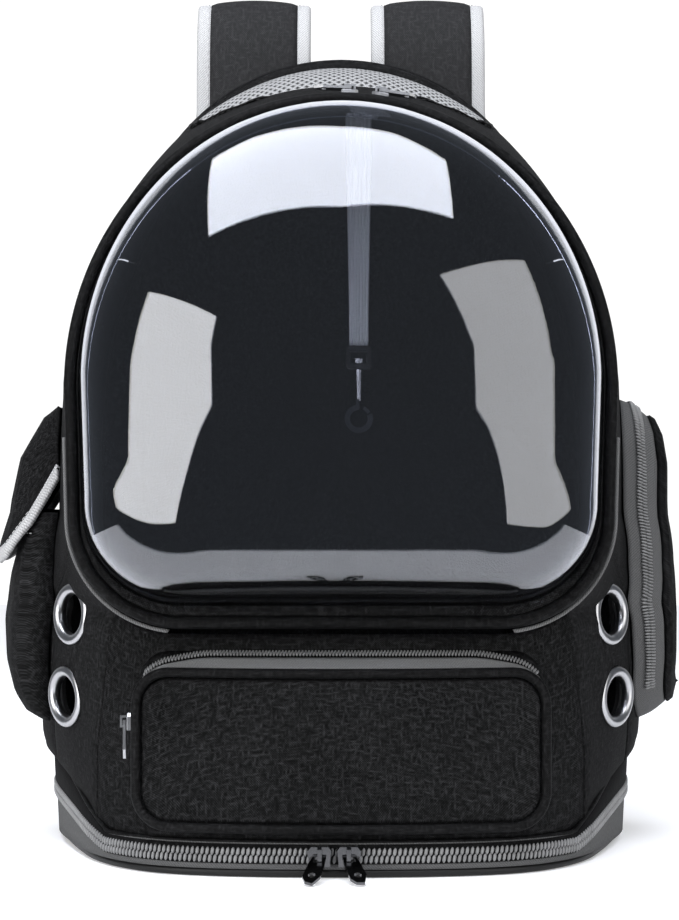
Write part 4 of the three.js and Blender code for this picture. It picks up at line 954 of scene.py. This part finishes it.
def coil(name, line, outs, width, pitch, thick, material, nodes):
    """Two rows of zip teeth along a line: short arched bars that meet in the middle."""
    count = int(line.length / pitch)
    tooth = bead("tooth", width * 0.56, pitch * 0.72, thick)
    places = []
    for i in range(count):
        k = (i + 0.5) / count
        p, t, out = line.point(k), line.tangent(k), outs(k)
        across = out.cross(t).normalized()
        for sign in (1, -1):
            lean = (across * sign + t * 0.18 * sign).normalized()
            shift = across * (sign * width * 0.25) + t * (pitch * 0.25 * sign)
            places.append(place(p + shift, lean, out))
    return add_piece(name, scatter(name, tooth, places), material, nodes)


# painted shade: a near-black strip laid behind the base zip's teeth and over the tape above them
coil_shade_grid = band_grid(1.7, lambda y: coil_middle(y) - 4.4, lambda y: tape_top(y) - 1.2, 2)
add_piece("base_coil_shade_sheet", shell("base_coil_shade_sheet", coil_shade_grid, offset(coil_shade_grid, 0.5)), coil_shade_cloth)
coil_points = []
for p in perimeter(TAPE_TOP, 2.5, 120, 80):
    z = coil_middle(p.y)
    coil_points.append(V(p.x * foot_share(p.x, z), min(p.y, ends), z))
coil_line = Line(coil_points)


def level_out(line):
    return lambda k: V(line.tangent(k).y, -line.tangent(k).x, 0).normalized()


coil("base_coil", coil_line, level_out(coil_line), COIL_H, 2.7, 1.8, coil_grey, ["base_zip_teeth"])
cord_line = Line([V(p.x, min(p.y, ends), tape_top(p.y) - 0.2) for p in perimeter(TAPE_TOP, 0.6, 120, 80)])
add_piece("base_seam_cord", tube("base_seam_cord", cord_line, 1.1, 8, steps=260), piping_cloth)

# Bubble ring: flange, piping, dome and door band

def ring_body(name, corners, material, nodes, count=110):
    loops = [[on_ring(p.x, p.y, n) for p in ring_loop(side, low, count)] for side, low, n in corners]
    sections = [[loop[i] for loop in loops] for i in range(len(loops[0]))]
    return add_piece(name, loft(name, sections, ring=True), material, nodes)


PIPING_IN = PIPING_R + 0.2
BESIDE = PIPING_IN + PIPING_R + 0.2
FLANGE = [
    (1, 1, -3.9), (1, 1, -1.9), (BESIDE, BESIDE, -1.9), (BESIDE, BESIDE, 2.2),
    (BESIDE + 0.4, BESIDE + 0.5, 2.9),
    (DOME_SIDE - 0.9, BESIDE + 2.6, 3.1), (DOME_SIDE - 0.9, DOME_LOW - 1.2, 3.0),
    (DOME_SIDE - 0.3, DOME_LOW - 0.3, 2.2), (DOME_SIDE - 0.3, DOME_LOW - 0.3, -3.9),
]
ring_body("ring_flange", FLANGE, flange_cloth, ["bubble_ring"])
piping_loop = Line([on_ring(p.x, p.y, PIPING_R / 2) for p in ring_loop(PIPING_IN, PIPING_IN, 120)], ring=True)
piping = tube("ring_piping_cloth", piping_loop, PIPING_R, 16, ring=True, steps=360, up=RING_FORWARD)
add_piece("ring_piping_cloth", piping, piping_cloth, ["ring_piping"])
BAND = [(1.2, 1.2, -4.2), (1.2, 1.2, -9), (3.2, 3.2, -9), (3.2, 3.2, -4.2)]
ring_body("door_band_cloth", BAND, black_cloth, ["door_zip_band"])

DOME_POWER = 2 / 2.7


def dome_rows(inset, count, turns):
    loop = ring_loop(DOME_SIDE + inset, DOME_LOW + inset, count)
    centre = Vector((0, (RING_HIGH + DOME_LOW - DOME_SIDE) / 2))
    rows = []
    for p in loop:
        row = []
        for a in turns:
            left = max(math.cos(a), 0) ** DOME_POWER if a < math.pi / 2 - 1e-6 else 0
            q = centre.lerp(p, left)
            row.append(on_ring(q.x, q.y, (DOME_BULGE - inset) * math.sin(a) ** DOME_POWER))
        rows.append(row)
    return rows


turns = [math.pi / 2 * k ** 1.3 for k in spread(44)]
seat_n = -4.2


def dome_foot(inset, n, count=110):
    return [on_ring(p.x, p.y, n) for p in ring_loop(DOME_SIDE + inset, DOME_LOW + inset, count)]


lip_top, foot_out = dome_foot(-4.6, seat_n), dome_foot(0, seat_n)
lip_low, foot_in = dome_foot(-4.6, seat_n - 2), dome_foot(2, seat_n - 2)
outer = [[lip_top[i], foot_out[i], *row[1:]] for i, row in enumerate(dome_rows(0, 110, turns))]
inner = [[lip_low[i], foot_in[i], *row[1:]] for i, row in enumerate(dome_rows(2, 110, turns))]
add_piece("dome_shell", shell("dome_shell", outer, inner, ring=True), dome_clear, ["bubble_dome"])

half_out = ring_half(-1.8)
half_in = ring_half(0)
tape_shares = spread(60, 11 / 60, 27 / 60)
for side, flip in (("right", False), ("left", True)):
    sections = []
    for k in tape_shares:
        a, b = half_out.point(k), half_in.point(k)
        sections.append([on_ring(p.x, p.y, n) for p, n in ((a, -2.2), (a, -4.2), (b, -4.2), (b, -2.2))])
    name = "corner_tape_cloth_" + side
    add_piece(name, loft(name, sections, flip_x=flip), tape_mid, ["corner_tape_" + side])

# Front pocket: a cloth box with a puffed face, piping round it and a zip over its top

def rounded(x0, y0, x1, y1, r, bend=10, across=36, up=14):
    """A rounded rectangle whose points keep their order for every inset."""
    quarter = math.pi / 2
    hubs = ((x1 - r, y0 + r), (x1 - r, y1 - r), (x0 + r, y1 - r), (x0 + r, y0 + r))
    starts = (-quarter, 0, quarter, math.pi)
    arcs = [arc(cx, cy, r, r, a, a + quarter, bend) for (cx, cy), a in zip(hubs, starts)]
    points = []
    for k, steps in enumerate((up, across, up, across)):
        end, start = arcs[k][-1], arcs[(k + 1) % 4][0]
        points += arcs[k] + [end.lerp(start, t) for t in spread(steps)[1:-1]]
    return points


def drape_uv(mesh, u_of, v_of):
    """Lays the cloth's threads by place, in metres."""
    layer = mesh.uv_layers["cloth"].data
    for loop in mesh.loops:
        co = mesh.vertices[loop.vertex_index].co
        layer[loop.index].uv = (u_of(co), v_of(co))


def pocket_face(x):
    return FRONT_Y - POCKET_FRONT + POCKET_BOW - math.sqrt(POCKET_BOW ** 2 - x ** 2)


def pocket_loop(inset, back):
    w = POCKET_W / 2 - inset
    outline = rounded(-w, POCKET_LOW + inset, w, POCKET_HIGH - inset, max(POCKET_R - inset, 1))
    return [V(p.x, pocket_face(p.x) + back, p.y) for p in outline]


def pocket_foot(inset):
    foot = []
    for p in pocket_loop(inset, 0):
        z = p.z + smooth(p.z, POCKET_HIGH - POCKET_R, POCKET_HIGH - inset) * POCKET_SLOPE
        foot.append(V(p.x, front_at(p.x, z) - 0.6, z))
    return foot


POCKET_EDGE = 2 * POCKET_PIPING_R + 6 * GAP
POCKET_SIDE = 1.2
POCKET_MIDDLE = (POCKET_LOW + POCKET_HIGH) / 2


def pocket_rows(t):
    side = POCKET_SIDE + t
    foot, rim = pocket_foot(side), pocket_loop(side, POCKET_EDGE + t)
    middle = [a.lerp(b, 0.5) + V(0, 0, 0.6 if b.z > POCKET_MIDDLE else -0.3) for a, b in zip(foot, rim)]
    loops = [foot, middle, rim]
    loops += [pocket_loop(POCKET_EDGE - 1 + t, POCKET_EDGE + t), pocket_loop(POCKET_EDGE - 0.6 + t, 2.6 + t)]
    for k in spread(20):
        inset = lerp(POCKET_EDGE + 0.4, 42, k ** 1.3)
        crown = 1.9 * smooth(inset, POCKET_EDGE, POCKET_EDGE + 13) - 1.6
        row = []
        for p in pocket_loop(inset, 0):
            give = soft(p, 1.3, 21.0) + 0.8 * noise.noise(V(p.x * 0.035, 4.0, p.z * 0.09))
            row.append(p + V(0, t - crown - give * smooth(inset, POCKET_EDGE, 22), 0))
        loops.append(row)
    loops.append([V(p.x, p.y, POCKET_MIDDLE) for p in loops[-1]])
    return [[loop[i] for loop in loops] for i in range(len(loops[0]))]


pocket_mesh = shell("front_pocket_cloth", pocket_rows(0), pocket_rows(FABRIC), ring=True)
drape_uv(pocket_mesh, lambda co: co.x, lambda co: co.z + co.y)
add_piece("front_pocket_cloth", pocket_mesh, black_cloth, ["front_pocket"])
pocket_edge = Line(pocket_loop(POCKET_PIPING_R, POCKET_PIPING_R), ring=True)
edge_up = V(0, 1, 0)
pocket_piping = tube("pocket_piping_cloth", pocket_edge, POCKET_PIPING_R, 14, ring=True, steps=260, up=edge_up)
add_piece("pocket_piping_cloth", pocket_piping, piping_cloth, ["front_pocket_piping"])
zip_rim, zip_foot = pocket_loop(POCKET_SIDE, POCKET_EDGE), pocket_foot(POCKET_SIDE)
over = [i for i, p in enumerate(zip_rim) if p.z > POCKET_HIGH - 0.35 * POCKET_R]
over.sort(key=lambda i: -math.atan2(zip_rim[i].z - POCKET_MIDDLE, zip_rim[i].x))
zip_grid, zip_points = [], []
for i in over:
    opened = smooth(POCKET_W / 2 - abs(zip_rim[i].x), 4, 42)
    zip_grid.append([zip_rim[i].lerp(zip_foot[i], k) for k in spread(5, 0.0, 0.06 + 0.5 * opened)])
    zip_points.append(zip_rim[i].lerp(zip_foot[i], 0.2 + 0.56 * opened) + V(0, 0, 1.3))
zip_tape = shell("pocket_zip_tape_cloth", offset(zip_grid, 0.5), offset(zip_grid, 1.3))
add_piece("pocket_zip_tape_cloth", zip_tape, tape_mid, ["front_pocket_zip_tape"])
zip_line = Line(zip_points)
coil("pocket_coil", zip_line, lambda k: V(0, -0.35, 1), 5.4, 1.7, 1.9, coil_grey, ["front_pocket_zip_teeth"])

# Side pockets
SHARE_MM = 1 / BODY_DEPTH
WALL_GAP = 3 * GAP
POCKET_HUB_Y, POCKET_HUB_Z = 26, 160
RIGHT_SPAN = (SIDE_SHARE[1] - SIDE_SHARE[0]) * BODY_DEPTH


def right_loop(inset, out, bend=8):
    low, high, far = SIDE_LOW + inset, SIDE_TOP_Z - inset, RIGHT_SPAN - inset
    outline = rounded(inset, low, far, high, 26 - inset / 2, bend, 16, 30)
    loop = []
    for p in outline:
        stand = table(RIGHT_OUT, (p.y - SIDE_LOW) / (SIDE_TOP_Z - SIDE_LOW), 1) * out * SIDE_PROUD
        loop.append(flank_at(SIDE_SHARE[0] + p.x * SHARE_MM, p.y, WALL_GAP + stand))
    return loop


def from_middle(p):
    """The direction to a point from the right pocket's middle, along the wall."""
    return (p - V(p.x, POCKET_HUB_Y, POCKET_HUB_Z)).normalized()


right_foot, right_edge = right_loop(0, 0), right_loop(*RIGHT_EDGE)
gusset_rows, gusset_in = [], []
for a, b in zip(right_foot, right_edge):
    out = from_middle(a)
    gusset_rows.append([a.lerp(b, k) + out * (1.2 * math.sin(math.pi * k)) for k in spread(8)])
    gusset_in.append([a.lerp(b, k) + out * (1.2 * math.sin(math.pi * k) - 2) for k in spread(8)])
gusset = shell("right_gusset_tape", gusset_rows, gusset_in, ring=True)
add_piece("right_gusset_tape", gusset, tape_grey, ["right_pocket_gusset"])


def cover_rows(t):
    edge = [V(p.x + WALL_GAP, p.y, p.z) for p in right_edge]
    inset, level = RIGHT_EDGE
    middle = sum(right_loop(inset + 9, 1), V(0, 0, 0)) / len(edge)
    steps = ((-0.3, level + 0.1), (1.5, level + 0.2), (5, 0.97), (10, 1))
    loops = [edge] + [right_loop(inset + more, out) for more, out in steps]
    for k in spread(8, 0.15, 1.0):
        rise = V(1.2 * math.sin(math.pi * k / 2), 0, 0)
        loops.append([p.lerp(V(p.x, middle.y, p.z), k) + rise for p in loops[4]])
    rows = []
    for i in range(len(edge)):
        row = []
        for j, loop in enumerate(loops):
            p = loop[i]
            give = soft(p, 1.0, 31.0) * smooth(j, 2, 6)
            x = p.x - (t if j else 0) + give
            row.append(V(x, lerp(p.y, middle.y, 0.03 * t), lerp(p.z, middle.z, 0.012 * t)))
        rows.append(row)
    return rows


cover_mesh = shell("right_cover_cloth", cover_rows(0), cover_rows(1.8), ring=True)
drape_uv(cover_mesh, lambda co: co.y, lambda co: co.z + co.x)
add_piece("right_cover_cloth", cover_mesh, black_cloth, ["right_pocket_cover"])
ridge = [a.lerp(b, 0.55) + from_middle(a) * 1.6 for a, b in zip(right_foot, right_edge)]


def round_turn(p):
    """The angle round the pocket, counted from its lower back."""
    return (math.atan2(p.z - POCKET_HUB_Z, p.y - POCKET_HUB_Y - 2) + 0.5) % (2 * math.pi)


run = sorted((p for p in ridge if 0.9 < round_turn(p) < 4.75), key=round_turn)
ridge_line = Line(run)


def ridge_out(k):
    p, t = ridge_line.point(k), ridge_line.tangent(k)
    away = V(0.75, 0, 0) + from_middle(p)
    return (away - t * away.dot(t)).normalized()


coil("right_coil", ridge_line, ridge_out, 7.6, 1.75, 2.2, coil_grey, ["right_pocket_teeth"])


def left_rows(t, columns=40, levels=30):
    rows = []
    for k in spread(levels):
        z = lerp(SIDE_LOW, SIDE_HEM, k) + (0 if k else t)
        level = table(LEFT_OUT, k, 1)
        row = []
        for along in spread(columns):
            out = table(LEFT_PLAN, along, 1)
            share = lerp(SIDE_SHARE[0] + t * SHARE_MM, SIDE_SHARE[1] - t * SHARE_MM, along)
            p = flank_at(share, z, 0)
            fold = 0.9 * noise.noise(V(along * 7, k * 2.2, 9.0)) + 0.5 * noise.noise(V(along * 16, k * 3, 2.0))
            stand = max(0, level * out * SIDE_PROUD - (t if out else 0)) + fold * out * smooth(k, 0, 0.2)
            row.append(V(p.x + WALL_GAP + stand, p.y, z))
        rows.append(row)
    return rows


left_mesh = shell("left_pocket_cloth", left_rows(0), left_rows(1.8), flip_x=True)
drape_uv(left_mesh, lambda co: co.y + co.x, lambda co: co.z)
add_piece("left_pocket_cloth", left_mesh, black_cloth, ["left_pocket"])


def flap_grid(columns=44, levels=16):
    grid = []
    for along in spread(columns):
        opened = table(FLAP_ALONG, along, 1)
        row = []
        for k in spread(levels):
            at = k * (len(FLAP) - 1)
            i = min(int(at), len(FLAP) - 2)
            a, b = FLAP[i], FLAP[i + 1]
            e = at - i
            out, z_open, cheek = (lerp(a[c], b[c], e) for c in (0, 1, 2))
            z = lerp(SIDE_LOW, SIDE_TOP_Z - 5, lerp(cheek, z_open, opened))
            wave = 0.8 * noise.noise(V(along * 6, k * 2.5, 5.5)) * k
            share = lerp(SIDE_SHARE[0] - 3 * SHARE_MM, SIDE_SHARE[1] + 3 * SHARE_MM, along)
            row.append(flank_at(share, z, 3 * GAP + out * opened * SIDE_PROUD + wave))
        grid.append(row)
    return grid


flap_base = flap_grid()
flap_over = [[p + V(1.6, 0, 1.0) for p in row] for row in flap_base]
flap_mesh = shell("left_flap_cloth", flap_over, flap_base, flip_x=True)
add_piece("left_flap_cloth", flap_mesh, black_cloth, ["left_pocket_flap"])
rim_grid = []
for row in flap_base:
    down = (row[-1] - row[-2]).normalized()
    rim_grid.append([row[-1] + down * d for d in (-2.5, -1, 1.0, 2.8, 4.8)])
binding_out = [[p + V(2.1 - 0.5 * abs(j - 2) / 2, 0, 1.2) for j, p in enumerate(row)] for row in rim_grid]
binding_in = [[p + V(-0.5, 0, -0.4) for p in row] for row in rim_grid]
flap_tape = shell("left_flap_tape", binding_out, binding_in, flip_x=True)
add_piece("left_flap_tape", flap_tape, herringbone, ["left_flap_binding"])

# Straps: padded straps with twill bindings and webbing
strap_points = [V(x * STRAP_X, BACK_Y + BACK_T + y, z * BACK_TOP) for x, y, z in STRAP_PATH]
strap_line = Line([spline(strap_points, k) for k in spread(260)])


def strap_frame(k):
    t = strap_line.tangent(k)
    wide = (V(1, 0, 0) - t * t.x).normalized()
    return strap_line.point(k), t, wide, t.cross(wide)


def strap_width(k):
    return STRAP_W * (1 - 0.35 * smooth(k, 0.55, 1))


def strip(name, steps, across, section, flip_x=False):
    """A solid along the strap: section gives (across, through) pairs at a share."""
    sections = []
    for k in spread(steps):
        p, _, wide, thick = strap_frame(k)
        sections.append([p + wide * (across(k) + u) + thick * v for u, v in section(k)])
    return loft(name, sections, flip_x=flip_x)


def pad_section(k):
    w, t = strap_width(k) / 2 + 1.0, STRAP_T / 2
    crown = 1.0 + 0.5 * noise.noise(V(k * 9, 1.0, 2.0))
    over = []
    for e in spread(14):
        swell = math.sin(math.pi * e)
        over.append((lerp(-w, w, e), t * (0.62 + 0.38 * swell ** 0.4) + crown * swell))
    return over + [(u, -v) for u, v in reversed(over)]


def binding_section(k):
    w, t = BINDING_W / 2, 3.6
    points = []
    for a in spread(20, 0, 2 * math.pi)[:-1]:
        c, s = math.cos(a), math.sin(a)
        points.append((w * abs(c) ** 0.6 * (1 if c > 0 else -1), t * abs(s) ** 0.75 * (1 if s > 0 else -1)))
    return points


stitch = bead("stitch", 3.0, 0.75, 0.6)
for side, flip in (("right", False), ("left", True)):
    pad_mesh = strip("strap_pad_" + side, 120, lambda k: 0, pad_section, flip)
    pad = add_piece("strap_pad_" + side, pad_mesh, strap_cloth, ["shoulder_strap_" + side])
    for edge, sign in (("outer", 1), ("inner", -1)):
        across = lambda k, sign=sign: sign * ((strap_width(k) + BINDING_W) / 2 - 0.3)
        name = "strap_tape_" + edge + "_" + side
        node = "strap_binding_" + edge + "_" + side
        add_piece(name, strip(name, 140, across, binding_section, flip), tape_light, [node])
        places = []
        count = int(strap_line.length / 4.6)
        for i in range(count):
            p, t, wide, thick = strap_frame((i + 0.5) / count)
            at = p + wide * (across((i + 0.5) / count) - sign * 2.2)
            for face in (1, -1):
                places.append(place(at + thick * (3.55 * face), t, thick * face, flip))
        name = "strap_stitches_" + edge + "_" + side
        add_piece(name, scatter(name, stitch, places), thread_light)

web_end, web_tangent, _, _ = strap_frame(1)
web_from = web_end + web_tangent * 0.6
web_foot = V(0.8 * BACK_HALF_W, BACK_Y + BACK_T + 1.8, TRAY_T + 36)
web_bend = V(lerp(web_from.x, web_foot.x, 0.55), BACK_Y + BACK_T + 20, lerp(web_from.z, web_foot.z, 0.5))
web_points = [web_from - web_tangent * 6, web_from + web_tangent * 26, web_bend, web_foot]
web_line = Line([spline(web_points, k) for k in spread(120)])
for side, flip in (("right", False), ("left", True)):
    sections = []
    for k in spread(90):
        t = web_line.tangent(k)
        wide = (V(1, 0, 0) - t * t.x).normalized()
        thick = t.cross(wide)
        ribs = [(-12.5, 0), (-12.1, 0.8)]
        ribs += [(u, 0.9 + 0.25 * math.cos(u * 2.2)) for u in spread(24, -11.4, 11.4)]
        ribs += [(12.1, 0.8), (12.5, 0)]
        ribs += [(u, -v) for u, v in reversed(ribs[1:-1])]
        sections.append([web_line.point(k) + wide * u + thick * v for u, v in ribs])
    name = "strap_web_" + side
    add_piece(name, loft(name, sections, flip_x=flip), webbing_black, ["strap_webbing_" + side])

# Tether: ribbed webbing that narrows to its clip
TETHER_X, TETHER_END = 10, 279
tether_top = min(roof_grid[len(roof_grid) // 2], key=lambda p: abs(p.y)).z - 5
sections = []
for k in spread(40):
    half = lerp(7.6, 5.4, smooth(k, 0.0, 1.0))
    z = lerp(tether_top, TETHER_END, k)
    shares = spread(42, -0.97, 0.97)
    ribs = [(-half, 0)] + [(half * u, 0.75 + 0.35 * math.cos(u * 7 * math.pi)) for u in shares] + [(half, 0)]
    ribs += [(u, -v) for u, v in reversed(ribs[1:-1])]
    sections.append([V(TETHER_X + u, v, z) for u, v in ribs])
add_piece("tether_web", loft("tether_web", sections), webbing_grey, ["tether_webbing"])

# Stitches along the pocket hem, the flap and the roof window


def stitch_row(name, line, out_of, pitch, material, flip_x=False, lift=0.2, size=None):
    count = int(line.length / pitch)
    places = []
    for i in range(count):
        k = (i + 0.5) / count
        out = out_of(k)
        places.append(place(line.point(k) + out.normalized() * lift, line.tangent(k), out, flip_x))
    return add_piece(name, scatter(name, size or stitch, places), material)


fine_stitch = bead("fine_stitch", 2.4, 0.6, 0.5)
hem_points = [V(p.x + 0.15, p.y, p.z) for p in left_rows(0)[27][2:-2]]
hem = Line(hem_points)
stitch_row("left_hem_stitches", hem, level_out(hem), 3.4, thread_light, True, 0.1, fine_stitch)
flap_ends = [(row[-1], (row[-1] - row[-2]).normalized()) for row in flap_base[2:-2]]
flap_seam = Line([end + down * -1.6 + V(1.9, 0, 1.5) for end, down in flap_ends])
stitch_row("left_flap_stitches", flap_seam, lambda k: V(1, 0, 0.6), 3.4, thread_light, True, 0.2, fine_stitch)
window_seam = Line([V(p.x, p.y, roof_height(p.x, p.y) + 1.0) for p in window_shape(-5)], ring=True)
upwards = lambda k: V(0, 0, 1)
stitch_row("roof_window_stitches", window_seam, upwards, 3.6, thread_black, False, 0.1, fine_stitch)

# Plain looks for the nodes that keep their own shape
KEPT = {
    "tether_clip": acetal, "snap_hook": black_nickel, "hook_gate": black_nickel,
    "base_slider_left": black_nickel, "base_slider_right": black_nickel,
    "base_pull_left": black_nickel, "base_pull_right": black_nickel,
    "front_pocket_slider": nickel, "front_pocket_pull": nickel,
    "roof_slider_left": nickel, "roof_slider_right": nickel, "roof_pull_left": nickel, "roof_pull_right": nickel,
}
for name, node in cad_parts.items():
    if node.hide_render:
        continue
    node.data.materials.clear()
    node.data.materials.append(KEPT.get(name, black_cloth))

# Floor, lights and surroundings: a white table whose front edge is close, and softboxes over and beside it
bpy.context.scene.view_settings.view_transform = "Standard"


def glow(name, strength, color=(1, 1, 1)):
    material, tree, shader = nodes_of(name)
    shader.inputs["Base Color"].default_value = (0, 0, 0, 1)
    shader.inputs["Emission Color"].default_value = (*color, 1)
    shader.inputs["Emission Strength"].default_value = strength
    return material


def lamp_sheet(name, corners, strength, color=(1, 1, 1)):
    """A glowing sheet through its corners, in metres, that the camera itself doesn't see."""
    mesh = bpy.data.meshes.new(name)
    bm = bmesh.new()
    points = [Vector(c) for c in corners]
    hub = bm.verts.new(sum(points, Vector()) / len(points))
    rim = [bm.verts.new(p) for p in points]
    for i in range(len(rim)):
        bm.faces.new([hub, rim[i], rim[(i + 1) % len(rim)]])
    bm.to_mesh(mesh)
    bm.free()
    mesh.materials.append(glow(name, strength, color))
    sheet = bpy.data.objects.new(name, mesh)
    bpy.context.scene.collection.objects.link(sheet)
    sheet.visible_camera = False


bpy.ops.object.select_all(action="DESELECT")
bpy.ops.mesh.primitive_plane_add(size=1, location=(0, 1.2, -0.0002))
floor = bpy.context.object
floor.name = "floor"
floor.data.transform(Matrix.Diagonal((1.24, 2.98, 1, 1)))
floor_look, _, floor_shader = nodes_of("floor_paint")
floor_shader.inputs["Base Color"].default_value = (0.92, 0.92, 0.93, 1)
floor_shader.inputs["Roughness"].default_value = 0.7
floor_shader.inputs["Emission Color"].default_value = (1, 1, 1, 1)
floor_shader.inputs["Emission Strength"].default_value = 0.25
floor.data.materials.append(floor_look)

world = bpy.data.worlds.new("studio")
bpy.context.scene.world = world
world.use_nodes = True
tree = world.node_tree
background = tree.nodes["Background"]
background.inputs["Strength"].default_value = 0.3
background.inputs["Color"].default_value = (0.9, 0.93, 1, 1)
white = tree.nodes.new("ShaderNodeBackground")
dim = tree.nodes.new("ShaderNodeBackground")
dim.inputs["Color"].default_value = (0.8, 0.88, 1, 1)
dim.inputs["Strength"].default_value = 0.18
path = tree.nodes.new("ShaderNodeLightPath")
glossy = tree.nodes.new("ShaderNodeMixShader")
seen = tree.nodes.new("ShaderNodeMixShader")
link(tree, path.outputs["Is Glossy Ray"], glossy.inputs[0])
link(tree, background.outputs[0], glossy.inputs[1])
link(tree, dim.outputs[0], glossy.inputs[2])
link(tree, path.outputs["Is Camera Ray"], seen.inputs[0])
link(tree, glossy.outputs[0], seen.inputs[1])
link(tree, white.outputs[0], seen.inputs[2])
link(tree, seen.outputs[0], tree.nodes["World Output"].inputs["Surface"])
white.inputs["Color"].default_value = (1, 1, 1, 1)
white.inputs["Strength"].default_value = 1.1

TOP_BOX = [
    (-0.8, 0.16, 1.65), (-0.55, 0.13, 1.77), (-0.01, -0.12, 1.89), (0.34, -0.13, 1.85), (0.67, -0.32, 1.73),
    (0.62, -1.07, 1.39), (0.27, -1.2, 1.4), (0, -1.26, 1.36), (-0.33, -1.21, 1.37), (-0.74, -1.07, 1.31),
]
LEFT_BOX = [
    (-1.21, -0.83, 1.05), (-0.56, -1.43, 0.92), (-0.67, -1.55, 0.29), (-0.71, -1.41, -0.39),
    (-1.03, -1.21, -0.36), (-1.52, -0.62, -0.06), (-1.58, -0.5, 0.21), (-1.37, -0.86, 0.66),
]
RIGHT_BOX = [
    (0.43, -1.4, 1.07), (1.16, -0.71, 1.21), (1.37, -0.83, 0.71), (1.57, -0.43, -0.06),
    (1.25, -0.95, -0.39), (0.71, -1.4, -0.4), (0.7, -1.47, 0.64),
]
BACKDROP = [(-4, 3.6, -1.5), (4, 3.6, -1.5), (4, 3.6, 4), (-4, 3.6, 4)]
lamp_sheet("top_box", TOP_BOX, 8.6, (0.9, 0.93, 1))
lamp_sheet("left_box", LEFT_BOX, 5.7)
lamp_sheet("right_box", RIGHT_BOX, 3.2)
lamp_sheet("backdrop", BACKDROP, 1.1, (0.96, 0.97, 1))
